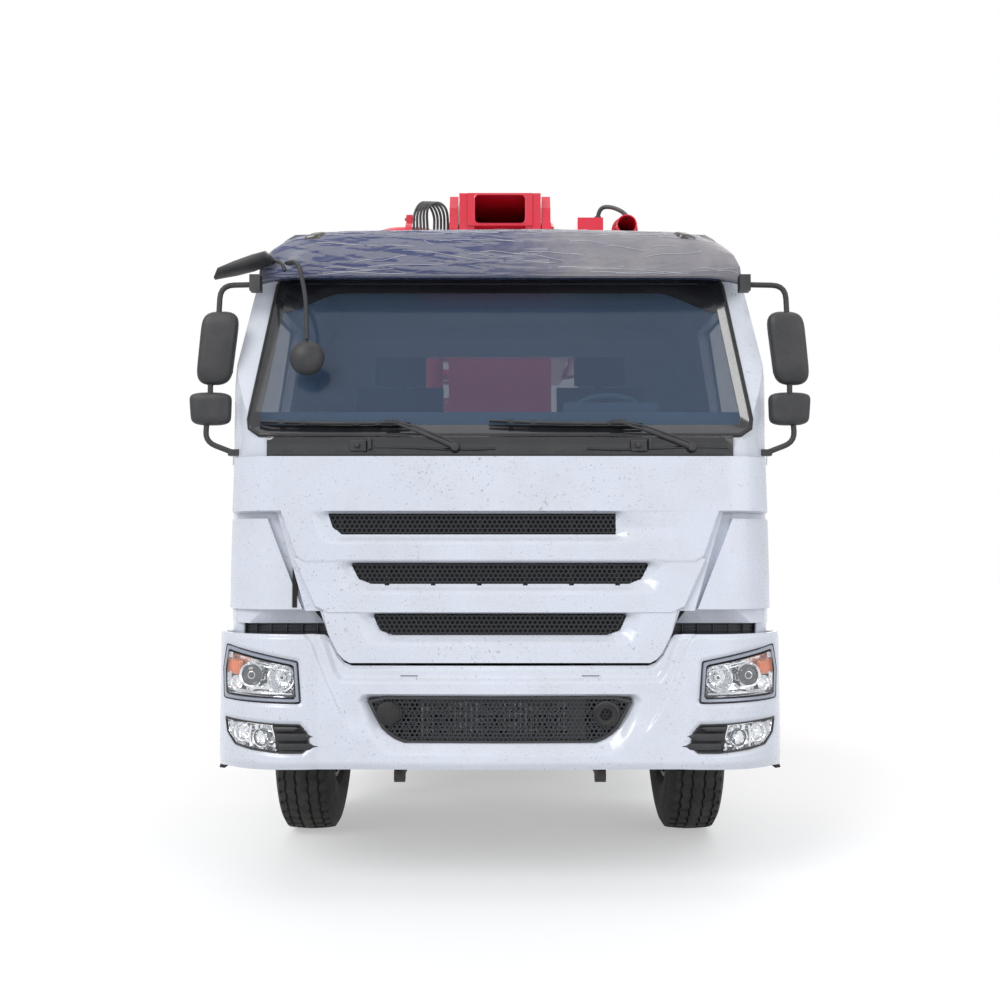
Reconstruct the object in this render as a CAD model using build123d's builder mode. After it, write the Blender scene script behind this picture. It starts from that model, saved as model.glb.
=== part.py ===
"""Truck-mounted concrete pump: a three-axle cab-over truck with a four-section folding boom.

The truck faces -Y, +X is its left side, +Z is up, and the ground is Z = 0. The origin lies on the
ground under the middle of the overall length. Every length is in millimetres, and places along the
truck are measured back from the front of the bumper with the function at().
"""

from build123d import *
from math import atan, atan2, cos, degrees, hypot, pi, radians, sin
import os

os.makedirs("parts", exist_ok=True)

# Overall truck and axles
LENGTH = 10900.0
GAP = 0.3  # face to face seat between two separate pieces
SWING = 6.0  # gap between pieces that move past each other
FRONT_AXLE = 1500.0
WHEELBASE = 4600.0
BOGIE = 1350.0
AXLE_Z = 540.0
FRONT_TRACK = 2020.0
KINGPIN_X = 790.0
REAR_TRACK = 1860.0
DUAL_PITCH = 344.0

# Tyres and rims
TYRE_R = 540.0
TYRE_W = 300.0
TYRE_WALL = 22.0
BEAD_R = 254.0
RIM_W = 230.0
RIM_WALL = 10.0
DISC_T = 14.0
HUB_R = 105.0
SPINDLE_R = 45.0
REAR_SPINDLE_R = 62.0

# Ladder frame
RAIL_OUT = 430.0
RAIL_FLANGE = 80.0
RAIL_WEB = 12.0
RAIL_LOW = 740.0
RAIL_TOP = 1030.0
RAIL_START = 420.0
RAIL_END = 9640.0

# Cab body, read from the front view, with one table of stations for its side outline
CAB_FLOOR = 1180.0
CAB_BACK = 2100.0
CAB_WALL = 62.0
CAB_FACE = 112.0
CAB_HALF = 1240.0
ROOF_Z = 2925.0
BELT_Z = 1999.0
GLASS_T = 8.0
TILT_AXIS = (140.0, 1150.0)
TILT_R = 24.0

# Front flap (the grille panel that swings up) and bumper
FLAP_FACE = 62.0
FLAP_BACK = 106.0
FLAP_TOP = 1905.0
FLAP_LOW = 1013.0
FLAP_AXIS = (84.0, 1899.0)
BUMPER_HALF = 1270.0
BUMPER_LOW = 560.0
BUMPER_TOP = 1000.0
BUMPER_CORNER_TOP = 1132.0
BUMPER_BACK = 770.0
BUMPER_WALL = 42.0
BUMPER_SPLIT = 640.0

# Doors
DOOR_FRONT = 345.0
DOOR_REAR = 1345.0
DOOR_LOW = 1245.0
DOOR_HIGH = 2745.0
DOOR_GAP = 5.0
DOOR_AXIS = (1218.0, 350.0)
DOOR_KNUCKLES = ((1300.0, 1345.0), (1890.0, 1935.0))
KNUCKLE_R = 9.0

# Turret and boom: pivot places as (distance behind the bumper, height)
TURRET = 3300.0
RING_Z = 1310.0
RING_R = 520.0
RING_H = 90.0
PIVOT_1 = (3150.0, 3190.0)
PIVOT_2 = (10300.0, 3430.0)
PIVOT_3 = (3170.0, 3745.0)
PIVOT_4 = (9850.0, 3835.0)
FORK_IN = 290.0
FORK_OUT = 350.0
PIN_R = 50.0
BOX_WALL = 14.0
LEVER = 300.0
LEVER_X = (356.0, 378.0)
ROD_X = 422.0
ROD_R = 38.0
BARREL_R = 68.0
BARREL_LONG = 900.0

# Delivery line
PIPE_R = 70.0
PIPE_BORE = 62.5
BEND_R = 140.0
PIPE_IN = 470.0
PIPE_MID = 640.0
PIPE_OUT = 830.0
PIPE_TIP = 875.0
CLAMP_R = 98.0

# Deck, pump and hopper
SUBFRAME_TOP = 1250.0
DECK_TOP = 1420.0
DECK_T = 20.0
DECK_HALF = 1200.0
DECK_START = 4450.0
DECK_END = 9640.0
CHANNEL_HALF = 440.0
DECK_BARS = (4500.0, 5700.0, 6900.0, 8100.0, 9210.0)
REST_AT = 9150.0
REST_TOP = 3159.0

# Outriggers
LEG_X = 1085.0
OUT_LOW = 1060.0
OUT_TOP = 1340.0
FRONT_PIVOT = (2760.0, 800.0)
REAR_PIVOT = (10060.0, 830.0)
FRONT_LEG_AT = 5210.0
REAR_LEG_AT = 8350.0
FOOT_Z = 460.0


def at(back):
    """Y of a place this far behind the front of the bumper."""
    return back - LENGTH / 2


def block(x, back, z, mode=Mode.ADD):
    """A box from three (low, high) pairs: X, distance behind the bumper, and Z."""
    with Locations(((x[0] + x[1]) / 2, at((back[0] + back[1]) / 2), (z[0] + z[1]) / 2)):
        return Box(x[1] - x[0], back[1] - back[0], z[1] - z[0], mode=mode)


def side_face(points, x=0.0):
    """A face in the side view from (distance behind the bumper, Z) corners."""
    with BuildSketch(Plane.YZ.offset(x)) as face:
        with BuildLine():
            Polyline(*[(at(b), z) for b, z in points], close=True)
        make_face()
    return face.sketch


def front_face(points, back=0.0):
    """A face in the front view from (X, Z) corners, at a distance behind the bumper."""
    with BuildSketch(Plane.XZ.offset(-at(back))) as face:
        with BuildLine():
            Polyline(*points, close=True)
        make_face()
    return face.sketch


def plan_face(points, z=0.0):
    """A face seen from above from (X, distance behind the bumper) corners."""
    with BuildSketch(Plane.XY.offset(z)) as face:
        with BuildLine():
            Polyline(*[(x, at(b)) for x, b in points], close=True)
        make_face()
    return face.sketch


def mirrored(points):
    """The corners with their mirror image across the middle of the truck, as one closed outline."""
    return points + [(-x, v) for x, v in reversed(points) if x > 0]


def across(radius, x, back, z, mode=Mode.ADD):
    """A round bar along X between two X values, at one place in the side view."""
    with Locations(Location(((x[0] + x[1]) / 2, at(back), z), (0, 90, 0))):
        return Cylinder(radius, abs(x[1] - x[0]), mode=mode)


def upright(radius, x, back, z, mode=Mode.ADD):
    """A round bar along Z between two heights."""
    with Locations((x, at(back), (z[0] + z[1]) / 2)):
        return Cylinder(radius, abs(z[1] - z[0]), mode=mode)


def lengthwise(radius, x, back, z, mode=Mode.ADD):
    """A round bar along Y between two distances behind the bumper."""
    with Locations(Location((x, at((back[0] + back[1]) / 2), z), (90, 0, 0))):
        return Cylinder(radius, abs(back[1] - back[0]), mode=mode)


def sides(function):
    """Runs a building function once for each side of the truck, with +1 and -1."""
    for side in (1, -1):
        function(side)


def finish(name, builder):
    """Names a finished piece and writes its file."""
    builder.part.label = name
    export_step(builder.part, f"parts/{name}.step")


# Wheels: one table, as name, x of the tyres, distance behind the bumper, tyres, and which way is out
WHEELS = [
    ("front_left", FRONT_TRACK / 2, FRONT_AXLE, 1),
    ("front_right", -FRONT_TRACK / 2, FRONT_AXLE, 1),
    ("middle_left", REAR_TRACK / 2, FRONT_AXLE + WHEELBASE, 2),
    ("middle_right", -REAR_TRACK / 2, FRONT_AXLE + WHEELBASE, 2),
    ("rear_left", REAR_TRACK / 2, FRONT_AXLE + WHEELBASE + BOGIE, 2),
    ("rear_right", -REAR_TRACK / 2, FRONT_AXLE + WHEELBASE + BOGIE, 2),
]


def wheel_plane(x, back):
    """A plane through a wheel's axle, with local x along the axle and local y as radius."""
    return Plane(origin=(x, at(back), AXLE_Z), x_dir=(1, 0, 0), z_dir=(0, -1, 0))


def tyre_ring(x, back):
    """One tyre: a hollow casing with bulging sidewalls and a slightly crowned tread."""
    half = TYRE_W / 2
    bead = RIM_W / 2 - 14
    inner = bead - TYRE_WALL
    with BuildSketch(wheel_plane(x, back)) as casing:
        with BuildLine():
            Line((-bead, BEAD_R + GAP), (-bead, BEAD_R + 16))
            ThreePointArc((-bead, BEAD_R + 16), (-half, (BEAD_R + TYRE_R) / 2), (-half + 18, TYRE_R - 34))
            Line((-half + 18, TYRE_R - 34), (-half + 34, TYRE_R - 9))
            ThreePointArc((-half + 34, TYRE_R - 9), (0, TYRE_R), (half - 34, TYRE_R - 9))
            Line((half - 34, TYRE_R - 9), (half - 18, TYRE_R - 34))
            ThreePointArc((half - 18, TYRE_R - 34), (half, (BEAD_R + TYRE_R) / 2), (bead, BEAD_R + 16))
            Line((bead, BEAD_R + 16), (bead, BEAD_R + GAP))
            Line((bead, BEAD_R + GAP), (inner, BEAD_R + GAP))
            ThreePointArc(
                (inner, BEAD_R + GAP),
                (half - TYRE_WALL, (BEAD_R + TYRE_R) / 2),
                (half - 46, TYRE_R - 44),
            )
            Line((half - 46, TYRE_R - 44), (-half + 46, TYRE_R - 44))
            ThreePointArc(
                (-half + 46, TYRE_R - 44),
                (-half + TYRE_WALL, (BEAD_R + TYRE_R) / 2),
                (-inner, BEAD_R + GAP),
            )
            Line((-inner, BEAD_R + GAP), (-bead, BEAD_R + GAP))
        make_face()
    revolve(casing.sketch, axis=Axis((x, at(back), AXLE_Z), (1, 0, 0)))


def rim_ring(x, back, out, disc, dish):
    """One rim: a flanged barrel with a disc at the given offset towards the outside."""
    half = RIM_W / 2
    with BuildSketch(wheel_plane(x, back)) as ring:
        with BuildLine():
            Polyline(
                (-half, BEAD_R + 12),
                (-half + 12, BEAD_R + 12),
                (-half + 12, BEAD_R),
                (half - 12, BEAD_R),
                (half - 12, BEAD_R + 12),
                (half, BEAD_R + 12),
                (half, BEAD_R - RIM_WALL),
                (-half, BEAD_R - RIM_WALL),
                close=True,
            )
        make_face()
        with BuildLine():
            Polyline(
                (out * disc, HUB_R - 20),
                (out * disc, 170),
                (out * (disc + dish), 205),
                (out * (disc + dish), BEAD_R - 2),
                (out * (disc + dish + DISC_T), BEAD_R - 2),
                (out * (disc + dish + DISC_T), 200),
                (out * (disc + DISC_T), 165),
                (out * (disc + DISC_T), HUB_R - 20),
                close=True,
            )
        make_face()
    revolve(ring.sketch, axis=Axis((x, at(back), AXLE_Z), (1, 0, 0)))


def hand_holes(x, back, out, disc):
    """Ten round hand holes through a disc."""
    axle = Plane(origin=(x + out * disc, at(back), AXLE_Z), x_dir=(0, 1, 0), z_dir=(out, 0, 0))
    with Locations(axle):
        with PolarLocations(222, 10, start_angle=18):
            Cylinder(17, 240, mode=Mode.SUBTRACT)


for wheel_name, wheel_x, wheel_back, tyre_count in WHEELS:
    outward = 1 if wheel_x > 0 else -1
    offsets = [0.0] if tyre_count == 1 else [outward * DUAL_PITCH / 2, -outward * DUAL_PITCH / 2]
    with BuildPart() as tyre:
        for shift in offsets:
            tyre_ring(wheel_x + shift, wheel_back)
    finish(f"tyre_{wheel_name}", tyre)

    with BuildPart() as rim:
        if tyre_count == 1:
            rim_ring(wheel_x, wheel_back, outward, 20.0, 34.0)
            hand_holes(wheel_x, wheel_back, outward, 0)
            across(HUB_R, (wheel_x - outward * 45, wheel_x + outward * 85), wheel_back, AXLE_Z)
            across(72, (wheel_x + outward * 85, wheel_x + outward * 128), wheel_back, AXLE_Z)
            across(SPINDLE_R + GAP, (wheel_x - outward * 45, wheel_x + outward * 70), wheel_back,
                   AXLE_Z, mode=Mode.SUBTRACT)
        else:
            rim_ring(wheel_x + offsets[0], wheel_back, outward, -160.0, 80.0)
            rim_ring(wheel_x + offsets[1], wheel_back, -outward, -172.0, 80.0)
            across(HUB_R + 5, (wheel_x - outward * 190, wheel_x + outward * 160), wheel_back, AXLE_Z)
            across(88, (wheel_x + outward * 160, wheel_x + outward * 235), wheel_back, AXLE_Z)
            across(REAR_SPINDLE_R + GAP, (wheel_x - outward * 190, wheel_x + outward * 140),
                   wheel_back, AXLE_Z, mode=Mode.SUBTRACT)
    finish(f"rim_{wheel_name}", rim)


# Steering knuckles with kingpin ears, stub spindle and brake plate
for side_name, side in (("left", 1), ("right", -1)):
    with BuildPart() as knuckle:
        block(sorted((side * (KINGPIN_X - 42), side * (KINGPIN_X + 76))), (FRONT_AXLE - 42, FRONT_AXLE + 42),
              (AXLE_Z - 110, AXLE_Z - 66))
        block(sorted((side * (KINGPIN_X - 42), side * (KINGPIN_X + 76))), (FRONT_AXLE - 42, FRONT_AXLE + 42),
              (AXLE_Z + 66, AXLE_Z + 110))
        block(sorted((side * (KINGPIN_X + 56), side * (KINGPIN_X + 76))), (FRONT_AXLE - 70, FRONT_AXLE + 70),
              (AXLE_Z - 110, AXLE_Z + 110))
        upright(24, side * KINGPIN_X, FRONT_AXLE, (AXLE_Z - 110, AXLE_Z + 110))
        across(200, sorted((side * (KINGPIN_X + 76), side * (KINGPIN_X + 86))), FRONT_AXLE, AXLE_Z)
        across(SPINDLE_R, sorted((side * (KINGPIN_X + 76), side * (FRONT_TRACK / 2 + 66))), FRONT_AXLE, AXLE_Z)
        block(sorted((side * (KINGPIN_X - 30), side * (KINGPIN_X + 10))), (FRONT_AXLE + 30, FRONT_AXLE + 200),
              (AXLE_Z - 108, AXLE_Z - 78))
    finish(f"knuckle_{side_name}", knuckle)

# Front axle: dropped beam with kingpin eyes, leaf springs and their brackets
with BuildPart() as front_axle:
    block((-560, 560), (FRONT_AXLE - 45, FRONT_AXLE + 45), (410, 520))

    def beam_end(side):
        outline = [(540, 412), (KINGPIN_X - 50, 480), (KINGPIN_X - 20, 480), (KINGPIN_X - 20, 590),
                   (KINGPIN_X - 90, 590), (540, 518)]
        extrude(front_face([(side * x, z) for x, z in outline], FRONT_AXLE - 40), amount=-80)
        upright(44, side * KINGPIN_X, FRONT_AXLE, (AXLE_Z - 60, AXLE_Z + 60))
        upright(24 + GAP, side * KINGPIN_X, FRONT_AXLE, (AXLE_Z - 60, AXLE_Z + 60), mode=Mode.SUBTRACT)

    def front_spring(side):
        x_low, x_high = sorted((side * 355, side * 445))
        with BuildSketch(Plane.YZ.offset(x_low)) as leaves:
            with BuildLine():
                ThreePointArc((at(800), 690), (at(FRONT_AXLE), 600), (at(2200), 690))
                Line((at(2200), 690), (at(2200), 662))
                ThreePointArc((at(2200), 662), (at(FRONT_AXLE), 520), (at(800), 662))
                Line((at(800), 662), (at(800), 690))
            make_face()
        extrude(leaves.sketch, amount=x_high - x_low)
        block((x_low - 8, x_high + 8), (FRONT_AXLE - 90, FRONT_AXLE + 90), (505, 545))
        across(34, (x_low - 4, x_high + 4), 800, 676)
        across(34, (x_low - 4, x_high + 4), 2200, 676)
        for place in (800, 2200):
            block((x_low - 18, x_low - 4), (place - 60, place + 60), (620, RAIL_LOW - GAP))
            block((x_high + 4, x_high + 18), (place - 60, place + 60), (620, RAIL_LOW - GAP))
        # tow hook bracket that shows below the bumper
        block(sorted((side * 449, side * 463)), (560, 760), (440, 640))
        across(34, sorted((side * 449, side * 500)), 600, 440)

    sides(beam_end)
    sides(front_spring)
finish("front_axle", front_axle)

# Rear bogie: two drive axle housings, springs over the trunnion
with BuildPart() as rear_axles:
    for place in (FRONT_AXLE + WHEELBASE, FRONT_AXLE + WHEELBASE + BOGIE):
        across(78, (-REAR_TRACK / 2 + 205, REAR_TRACK / 2 - 205), place, AXLE_Z)
        across(REAR_SPINDLE_R, (-REAR_TRACK / 2 - 130, REAR_TRACK / 2 + 130), place, AXLE_Z)
        with Locations((0, at(place), AXLE_Z)):
            Sphere(190)
        lengthwise(80, 0, (place - 300, place), AXLE_Z)

    def bogie_spring(side):
        first = FRONT_AXLE + WHEELBASE
        last = first + BOGIE
        middle = (first + last) / 2
        x_low, x_high = sorted((side * 455, side * 545))
        with BuildSketch(Plane.YZ.offset(x_low)) as leaves:
            with BuildLine():
                ThreePointArc((at(first - 60), 612), (at(middle), 720), (at(last + 60), 612))
                Line((at(last + 60), 612), (at(last + 60), 582))
                ThreePointArc((at(last + 60), 582), (at(middle), 600), (at(first - 60), 582))
                Line((at(first - 60), 582), (at(first - 60), 612))
            make_face()
        extrude(leaves.sketch, amount=x_high - x_low)
        across(95, sorted((side * 380, side * 575)), middle, 610)

    sides(bogie_spring)
    block((-RAIL_OUT - 20, RAIL_OUT + 20), (FRONT_AXLE + WHEELBASE + BOGIE / 2 - 110,
          FRONT_AXLE + WHEELBASE + BOGIE / 2 + 110), (560, RAIL_LOW - GAP))
finish("rear_axles", rear_axles)

# Engine with gearbox as one plain mass
with BuildPart() as engine_block:
    block((-RAIL_OUT + RAIL_FLANGE + 20, RAIL_OUT - RAIL_FLANGE - 20), (520, 1950), (640, 1160))
    block((-190, 190), (1950, 2290), (690, 1010))
finish("engine_block", engine_block)


def cab_body(inset):
    """The cab's outer form, shrunk by an inset: side, front and plan outlines crossed."""
    i = inset
    with BuildPart() as body:
        with BuildSketch(Plane.YZ.offset(-CAB_HALF - 10)):
            with BuildLine():
                Polyline(
                    (at(CAB_FACE + 30 + i), CAB_FLOOR + i),
                    (at(CAB_FACE + i), CAB_FLOOR + 60 + i),
                    (at(CAB_FACE + i), BELT_Z - 70),
                    (at(CAB_FACE + 14 + i), BELT_Z + 10),
                    (at(398 + i), 2790 - i * 0.3),
                    (at(440 + i), 2862 - i * 0.8),
                    (at(560 + i * 0.8), ROOF_Z - i),
                    (at(2080 - i * 0.5), ROOF_Z - i),
                    (at(CAB_BACK - i), ROOF_Z - 90 - i * 0.5),
                    (at(CAB_BACK - i), CAB_FLOOR + i),
                    close=True,
                )
            make_face()
        extrude(amount=2 * CAB_HALF + 20)
        front_outline = mirrored([
            (1205 - i, CAB_FLOOR - 5),
            (1232 - i, 1500),
            (CAB_HALF - i, 1900),
            (1228 - i, 2060),
            (1122 - i, 2760 - i * 0.3),
            (1062 - i * 0.8, 2870 - i * 0.7),
            (960 - i * 0.6, ROOF_Z + 5 - i),
        ])
        extrude(front_face(front_outline), amount=-CAB_BACK - 20, mode=Mode.INTERSECT)
        with BuildSketch(Plane.XY.offset(CAB_FLOOR - 10)) as plan:
            with BuildLine():
                for side in (1, -1):
                    Line((0, at(CAB_FACE - 8 + i)), (side * (940 - i), at(CAB_FACE - 4 + i)))
                    ThreePointArc(
                        (side * (940 - i), at(CAB_FACE - 4 + i)),
                        (side * (1140 - i * 0.9), at(176 + i * 0.8)),
                        (side * (1214 - i), at(330 + i * 0.5)),
                    )
                    Line((side * (1214 - i), at(330 + i * 0.5)), (side * (CAB_HALF - i), at(620)))
                    Line((side * (CAB_HALF - i), at(620)), (side * (CAB_HALF - i), at(CAB_BACK + 10)))
                Line((-CAB_HALF + i, at(CAB_BACK + 10)), (CAB_HALF - i, at(CAB_BACK + 10)))
            make_face()
        extrude(plan.sketch, amount=ROOF_Z - CAB_FLOOR + 30, mode=Mode.INTERSECT)
    return body.part


CAB_OUTER = cab_body(0)
CAB_INNER = cab_body(CAB_WALL)
CAB_GLASS = cab_body(GLASS_T)

# Outlines cut in the cab: windscreen and back window in the front view, door and its window from the side
WINDSCREEN = mirrored([(1108, 2016), (1014, 2772)])
BACK_WINDOW = [(-450, 2240), (475, 2240), (475, 2690), (-450, 2690)]
DOOR = [(DOOR_FRONT, DOOR_LOW), (DOOR_REAR, DOOR_LOW), (DOOR_REAR, DOOR_HIGH), (640, DOOR_HIGH),
        (DOOR_FRONT + 65, 2060), (DOOR_FRONT, BELT_Z - 9)]
DOOR_WINDOW = [(455, 2010), (DOOR_REAR - 65, 2010), (DOOR_REAR - 65, 2685), (672, 2685), (492, 2075)]


def shrunk(points, by):
    """A closed outline moved inwards by a gap, as a face in the side view."""
    with BuildSketch(Plane.YZ) as face:
        with BuildLine():
            Polyline(*[(at(b), z) for b, z in points], close=True)
        make_face()
        offset(amount=-by, kind=Kind.INTERSECTION)
    return face.sketch


def windscreen_face(by, back):
    """The windscreen outline, moved inwards, at a distance behind the bumper."""
    with BuildSketch(Plane.XZ.offset(-at(back))) as face:
        with BuildLine():
            Polyline(*WINDSCREEN, close=True)
        make_face()
        fillet(face.vertices(), 45)
        offset(amount=-by)
    return face.sketch


with BuildPart() as cab_shell:
    add(CAB_OUTER)
    add(CAB_INNER, mode=Mode.SUBTRACT)
    extrude(windscreen_face(0, 0), amount=-900, mode=Mode.SUBTRACT)
    extrude(front_face(BACK_WINDOW, CAB_BACK - 200), amount=-400, mode=Mode.SUBTRACT)
    for side in (1, -1):
        extrude(side_face(DOOR, side * 700), amount=side * 700, mode=Mode.SUBTRACT)

    def corner_panel(side):
        # wind deflector beside the grille, standing proud of the corner
        outline = [(858, 1242), (1210, 1242), (1196, 1636), (1012, 1636)]
        extrude(front_face([(side * x, z) for x, z in outline], 60), amount=-330)

    sides(corner_panel)
    with BuildSketch(Plane.XY.offset(CAB_FLOOR - 10)) as proud:
        with BuildLine():
            for side in (1, -1):
                Line((0, at(84)), (side * 900, at(84)))
                ThreePointArc((side * 900, at(84)), (side * 1146, at(156)), (side * 1226, at(330)))
                Line((side * 1226, at(330)), (side * (CAB_HALF + 1), at(620)))
                Line((side * (CAB_HALF + 1), at(620)), (side * (CAB_HALF + 1), at(CAB_BACK + 10)))
            Line((-CAB_HALF - 1, at(CAB_BACK + 10)), (CAB_HALF + 1, at(CAB_BACK + 10)))
        make_face()
    extrude(proud.sketch, amount=ROOF_Z, mode=Mode.INTERSECT)
    add(CAB_INNER, mode=Mode.SUBTRACT)
    for side in (1, -1):
        extrude(side_face(DOOR, side * 700), amount=side * 700, mode=Mode.SUBTRACT)
        for low, high in DOOR_KNUCKLES:
            upright(KNUCKLE_R + DOOR_GAP + GAP, side * DOOR_AXIS[0], DOOR_AXIS[1], (low - 6, high + 6),
                    mode=Mode.SUBTRACT)
        block(sorted((side * 432, side * 446)), (114, 172), (1118, CAB_FLOOR + 20))
        across(TILT_R + GAP, sorted((side * 420, side * 460)), *TILT_AXIS, mode=Mode.SUBTRACT)
finish("cab_shell", cab_shell)

with BuildPart() as cab_glass:
    add(CAB_OUTER)
    add(CAB_GLASS, mode=Mode.SUBTRACT)
    with BuildPart(mode=Mode.PRIVATE) as panes:
        extrude(windscreen_face(GAP, 0), amount=-900)
        with BuildSketch(Plane.XZ.offset(-at(CAB_BACK - 100))):
            with BuildLine():
                Polyline(*BACK_WINDOW, close=True)
            make_face()
            offset(amount=-GAP, kind=Kind.INTERSECTION)
        extrude(amount=-200)
    add(panes.part, mode=Mode.INTERSECT)
finish("cab_glass", cab_glass)

for side_name, side in (("left", 1), ("right", -1)):
    with BuildPart() as door:
        add(CAB_OUTER)
        add(CAB_INNER, mode=Mode.SUBTRACT)
        extrude(shrunk(DOOR, DOOR_GAP), amount=side * 1400, mode=Mode.INTERSECT)
        extrude(side_face(DOOR_WINDOW), amount=side * 1400, mode=Mode.SUBTRACT)
        block(sorted((side * 1222, side * 1268)), (DOOR_REAR - 190, DOOR_REAR - 50), (1830, 1868))
        for knuckle_z in DOOR_KNUCKLES:
            upright(KNUCKLE_R, side * DOOR_AXIS[0], DOOR_AXIS[1], knuckle_z)
    finish(f"door_{side_name}", door)

# Sun visor: a tinted blade over the top of the windscreen
with BuildPart() as sun_visor:
    blade = [(198, 2728), (212, 2722), (262, 2852), (352, 2966), (343, 2980), (248, 2860)]
    extrude(side_face(blade, -1120), amount=2240)
    visor_front = mirrored([(1112, 2700), (1104, 2800), (1075, 2860), (1025, 2920), (950, 2990)])
    extrude(front_face(visor_front, 0), amount=-500, mode=Mode.INTERSECT)
    for x in (-700, 0, 700):
        block((x - 15, x + 15), (330, 540), (2945, 2958))
        block((x - 15, x + 15), (530, 560), (ROOF_Z + GAP, 2958))
finish("sun_visor", sun_visor)

# Dashboard with steering wheel
with BuildPart() as dashboard:
    dash = [(178, 1700), (178, 2080), (230, 2120), (480, 2150), (600, 2120), (640, 2040), (560, 1900), (420, 1700)]
    extrude(side_face(dash, -1120), amount=2240)
    block((300, 740), (420, 600), (2130, 2190))
    with Locations(Location((520, at(745), 2110), (-38, 0, 0))):
        Torus(215, 15)
        Cylinder(60, 36)
        Box(400, 40, 12)
        with Locations((0, 0, -110)):
            Cylinder(28, 220)
    with BuildPart(mode=Mode.PRIVATE) as room:
        add(cab_body(CAB_WALL + GAP))
    add(room.part, mode=Mode.INTERSECT)
finish("dashboard", dashboard)

# Seats and bunk
with BuildPart() as seats:
    for x in (-560, 560):
        block((x - 250, x + 250), (950, 1450), (1620, 1760))
        extrude(side_face([(1400, 1740), (1480, 1720), (1590, 2420), (1500, 2420)], x - 240), amount=480)
        extrude(side_face([(1510, 2440), (1590, 2440), (1610, 2600), (1540, 2600)], x - 140), amount=280)
        block((x - 30, x + 30), (1530, 1570), (2380, 2480))
        block((x - 180, x + 180), (1020, 1400), (CAB_FLOOR + CAB_WALL + GAP, 1640))
    block((-1100, 1100), (1650, CAB_BACK - CAB_WALL - 20), (1600, 1740))
    block((-1000, 1000), (1700, CAB_BACK - CAB_WALL - 40), (CAB_FLOOR + CAB_WALL + GAP, 1610))
finish("seats", seats)

# Mirrors: housings on tube arms, both sides, kerb mirror and front mirror on the right
with BuildPart() as mirrors:
    def tube(start, end, radius=11):
        first = Vector(start[0], at(start[1]), start[2])
        last = Vector(end[0], at(end[1]), end[2])
        run = last - first
        plane = Plane(origin=first, z_dir=run)
        with Locations(plane):
            Cylinder(radius, run.length, align=(Align.CENTER, Align.CENTER, Align.MIN))

    for side in (1, -1):
        tube((side * 1100, 420, 2700), (side * 1292, 250, 2690))
        tube((side * 1292, 250, 2700), (side * 1292, 250, 1950))
        tube((side * 1190, 318, 1960), (side * 1300, 250, 1960))
        block(sorted((side * 1168, side * 1402)), (190, 245), (2240, 2600))
        block(sorted((side * 1178, side * 1392)), (190, 245), (2030, 2205))
    block((-1300, -1030), (160, 330), (2745, 2800))
    tube((-1180, 250, 2770), (-1100, 430, 2760))
    tube((-945, 420, 2800), (-860, 120, 2740))
    tube((-860, 120, 2745), (-860, 120, 2400))
    with Locations(Location((-855, at(122), 2350), (90, 0, 0))):
        Cylinder(85, 40)
    add(CAB_OUTER, mode=Mode.SUBTRACT)
    add(sun_visor.part, mode=Mode.SUBTRACT)
finish("mirrors", mirrors)

# Cowl strip and wipers under the windscreen
with BuildPart() as wipers:
    for x in (-196, 838):
        lengthwise(22, x, (88, 140), 1950)
        tube((x, 100, 1950), (x - 530, 118, 2066), 9)
        block((x - 860, x - 200), (116, 132), (2056, 2076))
    add(CAB_OUTER, mode=Mode.SUBTRACT)
finish("wipers", wipers)


def panel_body(front, inset):
    """The flap's form: flat face with swept corners, moved inwards and back by an inset."""
    i = inset
    with BuildPart() as body:
        with BuildSketch(Plane.XY.offset(FLAP_LOW - 10)) as plan:
            with BuildLine():
                for side in (1, -1):
                    Line((0, at(front + i)), (side * 940, at(front + i)))
                    ThreePointArc(
                        (side * 940, at(front + i)),
                        (side * 1140, at(front + 63 + i)),
                        (side * 1212, at(front + 213 + i)),
                    )
                Line((-1212, at(front + 213 + i)), (-1212, at(700)))
                Line((-1212, at(700)), (1212, at(700)))
                Line((1212, at(700)), (1212, at(front + 213 + i)))
            make_face()
        extrude(plan.sketch, amount=FLAP_TOP - FLAP_LOW + 20)
    return body.part


# Front flap: grille panel with three recessed slots, hinged along its top edge
SLOTS = [(736, 1659, 641, 1568), (640, 1443, 553, 1352), (548, 1227, 452, 1128)]
with BuildPart() as front_flap:
    add(panel_body(FLAP_FACE, 0))
    add(panel_body(FLAP_BACK, 0), mode=Mode.SUBTRACT)
    flap_front = mirrored([(640, FLAP_LOW), (815, 1232), (966, 1650), (972, 1664), (1180, 1664), (1172, FLAP_TOP)])
    extrude(front_face(flap_front, 0), amount=-600, mode=Mode.INTERSECT)
    for top_half, top, low_half, low in SLOTS:
        extrude(front_face(mirrored([(top_half, top), (low_half, low)]), 0), amount=-92, mode=Mode.SUBTRACT)
    for x in (-613, 0, 613):
        across(14, (x - 35, x + 35), *FLAP_AXIS)
finish("front_flap", front_flap)


def bumper_plan(inset, z):
    """The bumper's outline seen from above, shrunk by an inset."""
    i = inset
    with BuildSketch(Plane.XY.offset(z)) as plan:
        with BuildLine():
            for side in (1, -1):
                Line((0, at(i)), (side * (780 - i * 0.4), at(22 + i)))
                ThreePointArc(
                    (side * (780 - i * 0.4), at(22 + i)),
                    (side * (1150 - i * 0.8), at(120 + i * 0.9)),
                    (side * (1266 - i), at(330 + i * 0.3)),
                )
                Line((side * (1266 - i), at(330 + i * 0.3)), (side * (1266 - i), at(BUMPER_BACK + 10)))
            Line((-1266 + i, at(BUMPER_BACK + 10)), (1266 - i, at(BUMPER_BACK + 10)))
        make_face()
    return plan.sketch


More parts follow.
